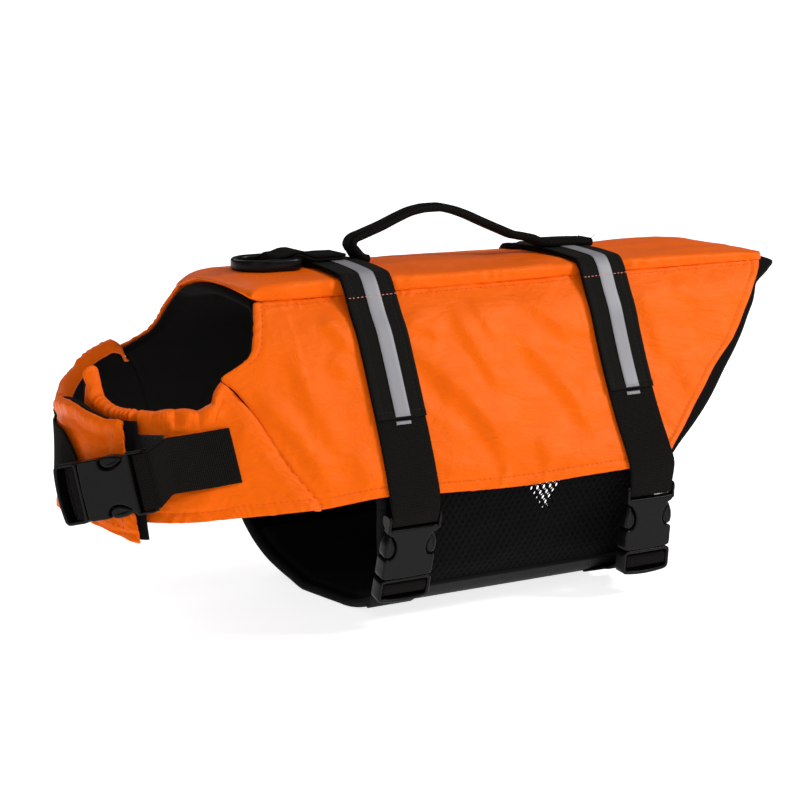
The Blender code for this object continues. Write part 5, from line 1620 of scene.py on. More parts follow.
@dataclass
class Belly:
    """The belly: a padded base, see-through mesh walls and a rolled tape at each end."""

    canvas: float = 2.0
    pad: float = 10.0
    lead: float = 6.0
    tape_cut: float = 10.5
    tape_fold: float = BINDING + 2.5
    heights: tuple = (108.0, 97.0, 76.0, 56.0, 40.0, 28.6)
    inside_depths: tuple = (139.0, 149.0)
    bulge: float = 1.3
    open_corner: tuple = ((37.0, 101.0), (73.0, 101.0), (62.0, 72.5))
    seed: int = 83

    def wall_row(self, side: int, x: np.ndarray, row: int) -> np.ndarray:
        """Points of the belly's wall at X on one row of its section."""
        if row < len(self.inside_depths):
            inside = -(COVER + SEAM_GAP + LINING + 2.0 * CHORD_GAP)
            depth = np.full_like(x, self.inside_depths[row])
            return body_point(NOSE_START_X - x, depth, inside, side)
        table = BELLY_LEFT if side < 0 else BELLY_RIGHT
        half, height = table[row]
        return np.stack([x, np.full_like(x, side * half), np.full_like(x, height)], -1)

    def section_row(self, side: int, x: np.ndarray, row: int) -> np.ndarray:
        """Points at X on one place of the section, where side 0 is the middle of the underside."""
        return self.wall_row(side, x, row) if side else np.stack([x, 0 * x, 0 * x], -1)

    def ends(self, height: float, inset: float, side: int) -> tuple[float, float]:
        """X of the belly's front and rear at a height, drawn in by inset; the right side leads."""
        lead = self.lead * (0.5 * side + 0.5)
        front, rear = (float(smooth(BELLY_ENDS, height, column)) for column in (1, 2))
        return front + inset - lead, rear - inset

    def walls(self, side: int) -> bpy.types.Object:
        """One mesh wall, from inside the hem down to the base."""
        label = "left" if side < 0 else "right"
        share = np.linspace(0.0, 1.0, 90)
        rows = []
        for k, height in enumerate(self.heights):
            front, rear = self.ends(height, BINDING_WIDTH + CHORD_GAP, side)
            rows.append(self.wall_row(side, front + (rear - front) * share, k))
        rows[-1][:, 2] = self.heights[-1]
        points = through(np.array(rows), 2.5)
        u, v = run_lengths(points)
        bulge = self.bulge * wander(u / 40.0, v / 26.0, self.seed + side, 3)
        calm = ease(v / v[-1:], 0.0, 0.35) * (1.0 - ease(v / v[-1:], 0.8, 1.0))
        calm = calm * ease(share, 0.0, 0.12)[None] * (1.0 - ease(share, 0.88, 1.0))[None]
        points = relief(points, bulge * calm, (0.0, side, 0.0))
        made = surface(f"mesh_wall_{label}", points, None, (0.0, side, 0.0))
        layer = made.data.attributes.new(SINGLE, "FLOAT", "POINT")
        layer.data.foreach_set("value", self.single(points).reshape(-1).astype(np.float32))
        thicken(made, self.canvas)
        return finish_piece(made, NET, (f"belly_mesh_{label}",))

    def single(self, points: np.ndarray) -> np.ndarray:
        """1 inside the triangle where the net is not doubled, 0 outside, by distance to a side."""
        inside = np.full(points.shape[:2], NOWHERE)
        corners = self.open_corner
        for (ax, az), (bx, bz) in zip(corners, corners[1:] + corners[:1]):
            long = math.hypot(bx - ax, bz - az)
            away = ((bx - ax) * (points[..., 2] - az) - (bz - az) * (points[..., 0] - ax)) / long
            inside = np.minimum(inside, -away)
        return ease(inside, -1.5, 1.0)

    def section(self, first: int) -> list[tuple[int, int]]:
        """Side and row of each point of the belly's section from one wall's row to the other's."""
        down = [(-1, k) for k in range(first, len(BELLY_LEFT))]
        return down + [(0, 0)] + [(1, k) for k in range(len(BELLY_RIGHT) - 1, first - 1, -1)]

    def base(self) -> bpy.types.Object:
        """The padded base: a shallow trough with a flat underside."""
        share = np.linspace(0.0, 1.0, 84)
        columns = []
        for side, k in self.section(5):
            height = BELLY_LEFT[k][1] if side else 0.0
            front, rear = self.ends(height, BINDING_WIDTH + CHORD_GAP, side)
            columns.append(self.section_row(side, front + (rear - front) * share, k))
        points = through(np.array(columns), 3.0)
        points[..., 2] = np.maximum(points[..., 2], 0.0)
        made = solid_strip("belly_pad", points, self.pad, (0.0, 0.0, -1.0))
        return finish_piece(made, BASE_CLOTH, ("belly_base",))

    def binding(self, rear: bool) -> bpy.types.Object:
        """Folded tape round one end of the belly, from hem to hem."""
        rows = []
        for side, k in self.section(0):
            height = BELLY_LEFT[k][1] if side else 0.0
            front_x, rear_x = self.ends(height, 0.0, side)
            pair = (rear_x - BINDING_WIDTH, rear_x) if rear else (front_x, front_x + BINDING_WIDTH)
            rows.append(self.section_row(side, np.linspace(*pair, 4), k))
        points = through(np.array(rows), 2.0)
        points[..., 2] = np.maximum(points[..., 2], 0.0)
        label = "rear" if rear else "front"
        made = solid_strip(f"belly_tape_{label}", points, self.tape_fold, (0.0, 0.0, -1.0))
        return finish_piece(made, TAPE_EDGE, (f"belly_binding_{label}",))

    def build(self) -> None:
        """All of the belly's pieces."""
        for side in (-1, 1):
            self.walls(side)
        self.base()
        for rear in (False, True):
            self.binding(rear)


class BuckleAxes:
    """A buckle's own axes: across its width, along its length and out of its face."""

    def __init__(self, origin: tuple, along: tuple, out: tuple) -> None:
        """Makes the three directions square to each other.

        Args:
            origin: middle of the bar that the upper webbing wraps.
            along: direction of the buckle's length.
            out: rough direction out of its face.
        """
        self.origin = np.array(origin, float)
        self.along = np.array(along, float) / np.linalg.norm(along)
        across = np.cross(self.along, out)
        self.across = across / np.linalg.norm(across)
        self.out = np.cross(self.across, self.along)

    def at(self, across: float, along: float, out: float) -> np.ndarray:
        """A point given in the buckle's axes."""
        return self.origin + across * self.across + along * self.along + out * self.out

    def rows(self, across: np.ndarray, route: tuple) -> np.ndarray:
        """A row of points across the buckle for each place along and out of it on a route."""
        return np.array([[self.at(place, along, out) for place in across] for along, out in route])


FRONT_BUCKLE = BuckleAxes(
    (FRONT_STRAP_X, -115.9, 86.3), (0.0, 0.286, -0.958), (0.0, -0.958, -0.286)
)
REAR_BUCKLE = BuckleAxes(
    (REAR_STRAP_X - 3.0, -118.8, 83.2), (0.0, 0.1, -0.995), (0.0, -0.995, -0.1)
)
CHEST_BUCKLE = BuckleAxes((-254.1, -101.4, 132.6), (-0.49, 0.835, -0.25), (-0.862, -0.506, 0.0))
CHEST_STRETCH = 1.09
BAR = 2.5
LOOP = BAR + 0.4 + WEBBING
MALE_BAR = 55.0
# Along and out of the buckle, the webbing's outer face round the plate's bar.
FEMALE_LOOP = (
    (-3.5, LOOP), (0.0, LOOP), (BAR, LOOP), (LOOP - 0.7, LOOP - 0.7), (LOOP, BAR), (LOOP, -1.0),
    (LOOP, -4.5),
)
# The same round the frame's bar.
MALE_LOOP = (
    (MALE_BAR + LOOP, -5.6), (MALE_BAR + LOOP, BAR), (MALE_BAR + LOOP - 0.7, LOOP - 0.7),
    (MALE_BAR + BAR, LOOP), (MALE_BAR - BAR, LOOP), (MALE_BAR - LOOP + 0.7, LOOP - 0.7),
    (MALE_BAR - LOOP, BAR), (MALE_BAR - LOOP, -4.0),
)
# The same for the right chest strap's folded end, and how far it lies off the buckle's middle.
MALE_RETURN = (
    (MALE_BAR - 4.0, -5.6), (MALE_BAR + 2.0, -5.9), (MALE_BAR + 9.0, -6.9), (MALE_BAR + 21.0, -9.6),
)
TAIL_SHIFT = 1.2
# Shift along X, Y and height of the front belly strap, from its sewn end to the buckle.
FRONT_SEWN = (
    (14.0, -60.9, 5.9), (11.0, -68.8, 9.2), (7.0, -77.0, 13.0), (3.0, -85.4, 19.0),
    (1.0, -90.0, 23.2),
)
# The same for the rear one.
REAR_SEWN = (
    (0.0, -60.9, 5.9), (0.0, -69.6, 8.6), (0.0, -79.0, 11.6), (-1.0, -88.0, 14.6),
    (-2.0, -97.0, 17.0), (-3.0, -103.4, 20.4),
)


@dataclass
class Harness:
    """All webbing: the two cross straps with their bands and tape, belly straps, chest straps."""

    width: float = WEBBING_WIDTH
    over: float = WEBBING_WIDTH + 2.4
    rear_shift: float = 2.0
    columns: int = 9
    band_depths: tuple = (95.0, 84.0, 74.0, 60.0, 46.0, 33.0, 20.0)
    band_hem: float = 2.5
    band_stitch: float = 5.2
    end_stitch: float = 5.0
    side_share: float = 0.137
    belly_lift: float = 1.4
    belly_squeeze: float = 0.94
    chest_squeeze: float = 0.97
    tape_half: float = 6.0
    tape_shift: float = 0.8
    tape_lift: float = 0.75
    tape_thickness: float = 0.5
    seam_level: float = 233.5
    seam_slant: float = 0.6

    def shares(self) -> np.ndarray:
        """Places across a strap from -1 to 1."""
        return np.linspace(-1.0, 1.0, self.columns)

    def spread(self) -> np.ndarray:
        """Points along X across a strap, about its middle."""
        return 0.5 * self.width * self.shares()[:, None] * np.array([1.0, 0.0, 0.0])

    def middle(self, label: str) -> float:
        """X of a cross strap's middle over the back, where the rear one lies a little forward."""
        return FRONT_STRAP_X if label == "front" else REAR_STRAP_X - self.rear_shift

    def over_body(self, x: np.ndarray, side: int, offset: float, depths: tuple) -> np.ndarray:
        """Rows on the garment from the lowest depth up one side to near the spine, at X values."""
        ahead = NOSE_START_X - x
        rows = [body_point(ahead, np.full_like(x, depth), offset, side) for depth in depths]
        for angle in (35.0, 65.0, 90.0):
            half, height = slab_side(x, np.full_like(x, angle), offset)
            rows.append(np.stack([x, side * half, height], -1))
        for share in (0.7, 0.45, 0.2):
            y = np.full_like(x, side * share * SLAB_HALF_WIDTH)
            rows.append(np.stack([x, y, slab_top(x, y, offset)], -1))
        return np.array(rows)

    def arch(self, x: np.ndarray, offset: float, depths: tuple) -> np.ndarray:
        """Rows over the whole back, from a depth on the left to the same depth on the right."""
        left = self.over_body(x, -1, offset, depths)
        right = self.over_body(x, 1, offset, depths)
        crest = np.stack([x, 0.0 * x, slab_top(x, 0.0 * x, offset)], -1)[None]
        return np.concatenate([left, crest, right[::-1]])

    def cross_strap(
        self, label: str, x: float, buckle: BuckleAxes, slide: float
    ) -> bpy.types.Object:
        """Webbing from the buckle's bar up the left side, over the back and down to the base."""
        line = self.middle(label) + 0.5 * self.over * self.shares()
        spread = self.spread()
        rows = [buckle.at(0.0, along, out) + spread for along, out in FEMALE_LOOP[::-1]]
        rows += list(self.arch(line, CHORD_GAP + WEBBING, SIDE_DEPTHS))
        for y, height, shift in FAR_STRAP_END:
            rows.append(np.array([x + shift * slide, y, height]) + spread)
        points = through(np.array(rows), 2.4)
        made = solid_strip(f"{label}_webbing", points, WEBBING, UP)
        return finish_piece(made, BELT, (f"{label}_strap",))

    def band(self, label: str) -> None:
        """The smooth band over the webbing, with its hems and its sewing."""
        outer = CHORD_GAP + WEBBING + SEAM_GAP + BAND
        line = self.middle(label) + 0.5 * self.over * np.linspace(-1.0, 1.0, 33)
        points = through(self.arch(line, outer, self.band_depths), 2.0)
        u, v = run_lengths(points)
        height = 0.12 * wander(u / 9.0, v / 14.0, 5, 2)
        for away in (u, self.over - u):
            height = height + 0.35 * bump(away, self.band_hem, 1.6)
            height = height - 0.3 * bump(away, self.band_stitch, 0.7)
        for away in (v, v[-1:] - v):
            height = height + 0.45 * bump(away, 3.0, 2.2) - 0.25 * bump(away, 6.5, 0.9)
        face = relief(points, height, UP)
        made = solid_strip(f"{label}_satin_band", face, BAND, UP)
        finish_piece(made, HEM_BAND, (f"{label}_band",))
        self.band_sewing(label, face, v[:, 16])
        self.tape(label, outer)

    def tape(self, label: str, outer: float) -> None:
        """The reflective tape sewn along the band, and its two turned ends."""
        line = self.middle(label) + self.tape_shift + self.tape_half * np.linspace(-1.0, 1.0, 5)
        depths = (94.0,) + self.band_depths[1:]
        points = through(self.arch(line, outer + self.tape_lift, depths), 2.4)
        made = solid_strip(f"{label}_bright_tape", points, self.tape_thickness, UP)
        finish_piece(made, REFLECTIVE)
        for side in (-1, 1):
            ends = [
                body_point(NOSE_START_X - line, np.full_like(line, depth), outer - 0.4, side)
                for depth in (97.0, 98.2, 99.4)
            ]
            name = f"{label}_tape_end_{side + 1}"
            made = solid_strip(name, np.array(ends), 0.4, (0.0, side, 0.3))
            finish_piece(made, REFLECTIVE)

    def band_sewing(self, label: str, face: np.ndarray, run: np.ndarray) -> None:
        """Black stitches round the band, and a pink line where it crosses each slab seam."""
        rows, columns = len(face) - 1, face.shape[1] - 1
        every = np.linspace(0.0, 1.0, 200)
        end = self.end_stitch * rows / run[-1]
        sides = (self.side_share, 1.0 - self.side_share)
        lines = [sewn(face, rows * every, columns * share, UP) for share in sides]
        lines += [sewn(face, row, columns * every, UP) for row in (end, rows - end)]
        stitches(f"{label}_band_sewing", lines, BAND_STITCH, BLACK_THREAD)
        level = face[:, columns // 2, 2]
        left = int(np.argmax(level > self.seam_level))
        right = len(level) - 1 - int(np.argmax(level[::-1] > self.seam_level))
        slant = self.seam_slant * (every - 0.5)
        places = (left + slant, right - slant)
        crossing = [sewn(face, row, columns * every, UP, self.tape_lift) for row in places]
        stitches(f"{label}_seam_sewing", crossing, CROSSING_STITCH, PINK_THREAD)

    def belly_strap(
        self, label: str, x: float, buckle: BuckleAxes, under: tuple
    ) -> bpy.types.Object:
        """Webbing sewn under the base and threaded through the lower end's bar."""
        spread = self.spread()
        rows = [np.array([x + shift, y, z + self.belly_lift]) + spread for shift, y, z in under]
        spread = self.belly_squeeze * spread
        rows += [buckle.at(0.0, along, out) + spread for along, out in MALE_LOOP]
        points = through(np.array(rows), 1.6)
        made = solid_strip(f"{label}_belly_webbing", points, WEBBING, (0.0, -0.5, -1.0))
        return finish_piece(made, BELT, (f"{label}_belly_strap",))

    def chest_strap(
        self, label: str, side: int, route: tuple, loop: tuple, outward: tuple
    ) -> bpy.types.Object:
        """Webbing sewn flat on a chest flap, then lifted to its end of the chest buckle."""
        half = 0.5 * self.width
        distance = np.linspace(route[0][0], route[-1][0], 26)[:, None]
        share = self.shares()[None]
        place = distance - share * STRAP_SLANT * half
        low = smooth(route, distance) + share * half
        raised = CHEST_GAP + WEBBING + smooth(route, distance, 2)
        if side > 0:
            raised = raised + overlap_shift(place, low)
        flat = body_point(place, low, raised + 0.0 * place, side)
        squeeze = self.chest_squeeze if side > 0 else 1.0
        down = -squeeze * np.sign(CHEST_BUCKLE.across[2]) * half
        looped = CHEST_BUCKLE.rows(down * self.shares(), loop)
        points = through(np.concatenate([flat, looped]), 1.8)
        made = solid_strip(f"chest_webbing_{label}", points, WEBBING, outward)
        return finish_piece(made, BELT, (f"chest_strap_{label}",))

    def chest_tail(self) -> bpy.types.Object:
        """The right chest strap's end, folded back under the buckle."""
        up = np.sign(CHEST_BUCKLE.across[2])
        across = up * (0.5 * self.width * self.shares() - TAIL_SHIFT)
        points = through(CHEST_BUCKLE.rows(across, MALE_RETURN), 1.6)
        made = solid_strip("chest_webbing_tail", points, WEBBING, (-0.9, -0.5, 0.0))
        return finish_piece(made, BELT)

    def build(self) -> None:
        """Every strap and band."""
        self.cross_strap("front", FRONT_STRAP_X, FRONT_BUCKLE, FRONT_STRAP_SLIDE)
        self.cross_strap("rear", REAR_STRAP_X, REAR_BUCKLE, 0.0)
        self.band("front")
        self.band("rear")
        self.belly_strap("front", FRONT_STRAP_X, FRONT_BUCKLE, FRONT_SEWN)
        self.belly_strap("rear", REAR_STRAP_X, REAR_BUCKLE, REAR_SEWN)
        toward = ((CHEST_LEAD_IN, LOOP),) + FEMALE_LOOP
        self.chest_strap("left", -1, LEFT_STRAP_ROUTE, toward, (-0.5, -0.8, 0.1))
        self.chest_strap("right", 1, RIGHT_STRAP_ROUTE, MALE_LOOP, (-0.9, 0.3, 0.0))
        self.chest_tail()


# X, Y, lean along X and height of each loose end of thread.
LOOSE_THREADS = (
    (146.0, -9.0, -6.0, 3.6), (151.0, -9.6, 5.0, 3.0), (166.0, -9.0, 5.5, 2.2),
    (128.0, -9.5, -6.0, 1.8),
)


@dataclass
class BackFittings:
    """What stands on the back: the folded handle and the webbing of the lead ring."""

    fold: float = 6.4
    foot_top: float = 255.0
    loose: tuple = LOOSE_THREADS

    def handle(self) -> bpy.types.Object:
        """Webbing folded to a rounded grip with wide feet."""
        rows = by_length(HANDLE_ROUTE)
        along = np.linspace(0.0, rows[-1, 0], 150)
        x, z, width = (smooth(rows, along, column) for column in (1, 2, 3))
        step = np.gradient(np.column_stack([x, z]), axis=0)
        step /= np.linalg.norm(step, axis=1)[:, None]
        lift = 0.5 * self.fold
        path = np.stack([x - lift * step[:, 1], 0.0 * x, z + lift * step[:, 0]], -1)
        points = ribbon(path, (0.0, 1.0, 0.0), width)
        made = solid_strip("handle_webbing", points, self.fold, UP)
        return finish_piece(made, BELT, ("handle",))

    def ring_strap(self) -> bpy.types.Object:
        """Webbing sewn over the front strap and folded round the lead ring's cross bar."""
        path = through(np.array([(x, 0.0, z) for x, z in RING_ROUTE]), 1.2)
        points = ribbon(path, (0.0, 1.0, 0.0), RING_WEBBING_WIDTH)
        made = solid_strip("ring_loop", points, WEBBING, (-1.0, 0.0, 0.0))
        return finish_piece(made, BELT, ("ring_webbing",))

    def threads(self) -> None:
        """Loose ends of thread where the handle's rear foot is sewn down."""
        t = np.array([0.0, 0.35, 0.7, 1.0])
        lines = []
        for x, y, lean, tall in self.loose:
            rise = tall * t * (1.6 - 0.6 * t)
            path = np.stack([x + lean * t, y + 0.5 * lean * t * t, self.foot_top + rise], -1)
            lines.append((path, np.broadcast_to([0.0, -1.0, 0.0], path.shape)))
        stitches("loose_threads", lines, LOOSE_END, BLACK_THREAD)

    def build(self) -> None:
        """The handle, the ring's webbing and the loose threads."""
        self.handle()
        self.ring_strap()
        self.threads()


def outline(points: tuple, mirror: bool = False, spacing: float = 0.7) -> np.ndarray:
    """A closed smooth line through points of a plan, evenly spaced.

    Args:
        points: places in order; two near each other make a tight corner.
        mirror: adds the same points on the other side of the first axis.
        spacing: wanted distance between the points returned.

    Returns:
        (n, 2) points, anticlockwise.
    """
    plan = np.array(points, float)
    if mirror:
        other = plan[::-1] * (-1.0, 1.0)
        plan = np.concatenate([plan, other])
        plan = plan[np.concatenate([[True], np.linalg.norm(np.diff(plan, axis=0), axis=1) > 1e-6])]
        if np.linalg.norm(plan[0] - plan[-1]) < 1e-6:
            plan = plan[:-1]
    count = len(plan)
    wrapped = np.concatenate([plan[-3:], plan, plan[:4]])
    flat = np.column_stack([wrapped, np.zeros(len(wrapped))])
    line = through(flat, 0.05)[:, :2]
    first = np.linalg.norm(line - plan[0], axis=1)
    half = len(line) // 2
    start = int(first[:half].argmin())
    end = half + int(first[half:].argmin())
    loop = line[start:end]
    run = run_of(loop)
    steps = max(3 * count, int(run[-1] / spacing))
    at = np.linspace(0.0, run[-1], steps, endpoint=False)
    made = np.stack([np.interp(at, run, loop[:, k]) for k in (0, 1)], -1)
    area = np.sum(made[:, 0] * np.roll(made[:, 1], -1) - np.roll(made[:, 0], -1) * made[:, 1])
    return made if area > 0 else made[::-1]


FACE_RIM = 0.3


def inward(plan: np.ndarray) -> np.ndarray:
    """Unit inward normals of a closed anticlockwise line, from its central differences."""
    ahead = np.roll(plan, -1, 0) - np.roll(plan, 1, 0)
    normal = np.stack([-ahead[:, 1], ahead[:, 0]], -1)
    return normal / np.maximum(np.linalg.norm(normal, axis=1, keepdims=True), 1e-9)


def round_edges(angles: tuple, low: np.ndarray, high: np.ndarray, rounding: float) -> list:
    """Inset and level of each ring of a wall with a quarter-round edge below and above.

    Args:
        angles: places on the lower quarter in degrees, from the rim at 90 to the wall at 0.
        low: underside.
        high: upper face.
        rounding: radius of the edges.

    Returns:
        Pairs inset = r (1 - cos a) and level = low + r (1 - sin a), and the same below high.
    """
    turns = np.radians(angles)
    steps = [(rounding * (1.0 - math.cos(a)), rounding * (1.0 - math.sin(a))) for a in turns]
    lower = [(inset, low + rise) for inset, rise in steps]
    return lower + [(inset, high - rise) for inset, rise in steps[::-1]]


def stacked(plan: np.ndarray, normal: np.ndarray, rings: list) -> list[np.ndarray]:
    """The plan moved in along its normals and raised, once for each inset and level."""
    flat = np.zeros(len(plan))
    return [np.column_stack([plan + inset * normal, flat + level]) for inset, level in rings]


def plate(plan: np.ndarray, low: np.ndarray, high: np.ndarray, rounding: float) -> np.ndarray:
    """Rings of a moulded plate: its plan carried up a wall between two quarter-round edges.

    Args:
        plan: (n, 2) closed line.
        low: underside, one value or one for each point.
        high: upper face, likewise.
        rounding: radius of the edges.

    Returns:
        (rings, n, 3) points, from the underside's rim to the upper face's rim.
    """
    rings = round_edges((90.0, 68.0, 45.0, 22.0, 0.0), low, high, rounding)
    rings = [(rounding + FACE_RIM, low)] + rings + [(rounding + FACE_RIM, high)]
    return np.stack(stacked(plan, inward(plan), rings))


def frame_rings(
    outer: np.ndarray, inner: np.ndarray, low: float, high: float, rounding: float
) -> np.ndarray:
    """Rings of a moulded frame round a hole: up one wall, over the rim and down the other.

    Args:
        outer: (n, 2) outer line.
        inner: (n, 2) line of the hole, point for point beside the outer one.
        low: underside.
        high: upper face.
        rounding: radius of the edges.

    Returns:
        (rings, n, 3) points whose last ring meets the first.
    """
    rings = round_edges((90.0, 60.0, 30.0, 0.0), low, high, rounding)
    hole = stacked(inner, -inward(inner), rings)
    return np.stack(stacked(outer, inward(outer), rings) + hole[::-1])


def rounded_box(
    low: tuple, high: tuple, corner: float, count: int = 96, bow: float = 0.0
) -> np.ndarray:
    """A rectangle with round corners, point k at the same share of its turn for every size.

    Args:
        low: lower corner.
        high: upper corner.
        corner: corner radius.
        count: number of points.
        bow: how far the upper side bulges outward at its middle.

    Returns:
        (count, 2) points, anticlockwise.
    """
    low, high = np.array(low, float), np.array(high, float)
    turn = np.linspace(0.0, 2.0 * math.pi, count, endpoint=False)
    share = np.stack([np.cos(turn), np.sin(turn)], -1)
    box = share / np.abs(share).max(1, keepdims=True)
    half = 0.5 * (high - low)
    core = np.clip(box * half, -(half - corner), half - corner)
    out = box * half - core
    long = np.maximum(np.linalg.norm(out, axis=1, keepdims=True), 1e-9)
    both = (np.abs(out) > 1e-6).all(1, keepdims=True)
    out = np.where(both, out / long * corner, out)
    made = 0.5 * (low + high) + core + out
    across = made[:, 0] / max(abs(low[0]), abs(high[0]))
    made[:, 1] += bow * (1.0 - across**2) * ease(made[:, 1], high[1] - 6.0, high[1])
    return made


def rod(start: tuple, end: tuple, radius: tuple, count: int = 16) -> np.ndarray:
    """Rings of a straight bar of oval section with domed ends, along the first axis."""
    along = np.linspace(0.0, 1.0, 12)
    dome = np.clip(np.abs(2.0 * along - 1.0) - 0.9, 0.0, 0.1) ** 2 * 100.0
    swell = np.sqrt(np.clip(1.0 - dome, 0.02, 1.0))
    turn = np.linspace(0.0, 2.0 * math.pi, count, endpoint=False)
    start, end = np.array(start, float), np.array(end, float)
    middle = start + along[:, None] * (end - start)
    ring = np.stack([0.0 * turn, radius[0] * np.cos(turn), radius[1] * np.sin(turn)], -1)
    return middle[:, None] + swell[:, None, None] * ring[None]


def mouldings(name: str, parts: list, place: object) -> bpy.types.Object:
    """One object of several moulded forms.

    Args:
        name: the object's name.
        parts: pairs of rings in a part's own axes and whether the last ring meets the first.
        place: function that takes own coordinates to the pattern's.

    Returns:
        The object, with flat ends and smooth walls.
    """
    points, faces, smooth_faces, base = [], [], [], 0
    for rings, loop in parts:
        rows, columns = rings.shape[:2]
        quads = quad_grid(rows, columns, loop, tube=True) + base
        faces += quads.tolist()
        smooth_faces += [True] * len(quads)
        end = base + rows * columns
        if not loop:
            faces += [list(range(base, base + columns))[::-1], list(range(end - columns, end))]
            smooth_faces += [False, False]
        points.append(rings.reshape(-1, 3))
        base = end
    made = link_mesh(name, place(np.concatenate(points)), faces)
    made.data.polygons.foreach_set("use_smooth", np.array(smooth_faces, bool))
    work = bmesh.new()
    work.from_mesh(made.data)
    bmesh.ops.recalc_face_normals(work, faces=work.faces)
    work.to_mesh(made.data)
    work.free()
    return made


# Plan of one side of the buckle's plate: across, along. Its notch holds the prong's thumb pad.
PLATE_SIDE = (
    (0.0, 6.3), (10.0, 6.2), (19.6, 6.2), (20.9, 6.6), (21.2, 7.6), (19.8, 9.4), (18.0, 11.0),
    (17.2, 11.0), (14.8, 13.8), (12.7, 18.0), (11.9, 22.0), (12.4, 25.8), (14.2, 28.7),
    (16.8, 29.9), (19.3, 29.8), (20.1, 30.4), (20.4, 31.6), (20.4, 37.0), (20.2, 43.6),
    (19.7, 44.9), (18.4, 45.4), (9.0, 45.9), (0.0, 46.1),
)
# Section of one of the plate's arms beside the webbing: along, out of the buckle.
ARM_SIDE = (
    (-3.6, 1.8), (-3.4, 4.2), (-1.2, 5.4), (3.0, 5.5), (8.4, 5.3), (8.8, 3.6), (5.6, -1.6),
    (2.6, -4.4), (-1.0, -4.4), (-3.2, -2.0),
)
# Plan of one thumb pad, across and along.
PAD_SIDE = (
    (17.7, 11.6), (18.7, 13.2), (20.2, 17.0), (21.0, 21.0), (21.0, 25.4), (20.0, 28.0),
    (17.6, 29.0), (15.0, 28.2), (13.2, 25.5), (12.7, 22.0), (13.5, 18.4), (15.4, 14.4),
)


@dataclass
class Buckle:
    """Side-release buckle: a plate with two notches, and a frame with a tongue and two prongs."""

    label: str
    axes: BuckleAxes
    half: float = 21.2
    face: float = 5.5
    edge: float = 1.0
    stretch: float = 1.0

    def place(self, points: np.ndarray) -> np.ndarray:
        """Points given across, along and out of the buckle, in the pattern's axes."""
        axes = np.stack([self.axes.across, self.stretch * self.axes.along, self.axes.out])
        return self.axes.origin + points @ axes

    def female(self) -> bpy.types.Object:
        """Plate, the two arms beside the webbing and the bar that the webbing wraps."""
        plan = outline(PLATE_SIDE, mirror=True)
        low = -self.face + 4.6 * (1.0 - ease(plan[:, 1], 7.0, 13.0))
        parts = [(plate(plan, low, self.face, self.edge), False)]
        arm = outline(ARM_SIDE)
        for side in (-1.0, 1.0):
            along, out, across = np.moveaxis(plate(arm, 19.3, self.half, 0.7), -1, 0)
            parts.append((np.stack([side * across, along, out], -1), False))
        parts.append((rod((-20.4, 0.0, 0.0), (20.4, 0.0, 0.0), (2.4, 2.4)), False))
        made = mouldings(f"{self.label}_clip_plate", parts, self.place)
        return finish_piece(made, ACETAL, (f"{self.label}_buckle_female",))

    def male(self) -> bpy.types.Object:
        """Frame round the lower webbing, its bar, the two prongs with their pads and the tongue."""
        outer = rounded_box((-20.9, 46.3), (20.9, 63.6), 3.4, bow=1.9)
        inner = rounded_box((-18.3, 48.6), (18.3, 61.4), 1.2, bow=1.6)
        parts = [(frame_rings(outer, inner, -4.8, self.face, 0.8), True)]
        parts.append((rod((-19.5, MALE_BAR, 0.0), (19.5, MALE_BAR, 0.0), (2.3, 2.3)), False))
        pad = outline(PAD_SIDE, spacing=0.6)
        for side in (-1.0, 1.0):
            rings = plate(pad, -4.0, 3.4 + 1.3 * ease(pad[:, 1], 11.0, 20.0), 1.7)
            parts.append((rings * (side, 1.0, 1.0), False))
            stem = plate(rounded_box((13.0, 24.0), (17.4, 48.0), 1.0, 40), -2.6, 2.6, 0.6)
            parts.append((stem * (side, 1.0, 1.0), False))
        tongue = plate(rounded_box((-8.0, 26.0), (8.0, 48.0), 2.0, 40), -2.3, 2.3, 0.6)
        parts.append((tongue, False))
        made = mouldings(f"{self.label}_clip_frame", parts, self.place)
        return finish_piece(made, ACETAL, (f"{self.label}_buckle_male",))

    def build(self) -> None:
        """Both halves."""
        self.female()
        self.male()


@dataclass
class LeadRing:
    """Moulded ring for the lead: a D-shaped hole, a cross bar for its webbing and a rear rim."""

    front: float = -137.0
    height: float = 254.1
    length: float = 48.0
    half: float = 20.5
    low: float = -4.0
    high: float = 4.4

    def build(self) -> bpy.types.Object:
        """The rim as a frame of round section, and the bar across it."""
        turn = np.linspace(0.0, 2.0 * math.pi, 120, endpoint=False)
        outer, inner = (self.plan(turn, inset) for inset in (0.0, 1.0))
        parts = [(frame_rings(outer, inner, self.low, self.high, 1.9), True)]
        bar = rod((-15.6, 0.0, 0.0), (15.6, 0.0, 0.0), (2.1, 2.0))
        parts.append((np.stack([33.0 + bar[..., 1], bar[..., 0], 1.2 + bar[..., 2]], -1), False))
        made = mouldings("lead_loop_ring", parts, self.place)
        return finish_piece(made, ACETAL, ("lead_ring",))

    def place(self, points: np.ndarray) -> np.ndarray:
        """Points given from the ring's front end, in the pattern's axes."""
        return points + np.array([self.front, 0.0, self.height])

    def plan(self, turn: np.ndarray, inset: float) -> np.ndarray:
        """The outer line for inset 0, the hole's for 1: half an oval in front, a box behind."""
        wide = self.half - 6.1 * inset
        front, rear = 4.0 * inset, self.length - 5.0 * inset
        centre = 0.42 * self.length
        x, y = -np.cos(turn), np.sin(turn)
        power = 2.0 / 5.0
        box_x = centre + (rear - centre) * np.abs(x) ** power
        oval_x = centre - (centre - front) * np.abs(x)
        box_y = wide * np.sign(y) * np.abs(y) ** power
        side = ease(x, -0.2, 0.35)
        px = np.where(x > 0, box_x, oval_x)
        return np.stack([px, box_y * side + wide * y * (1.0 - side)], -1)[::-1]


# Studio.


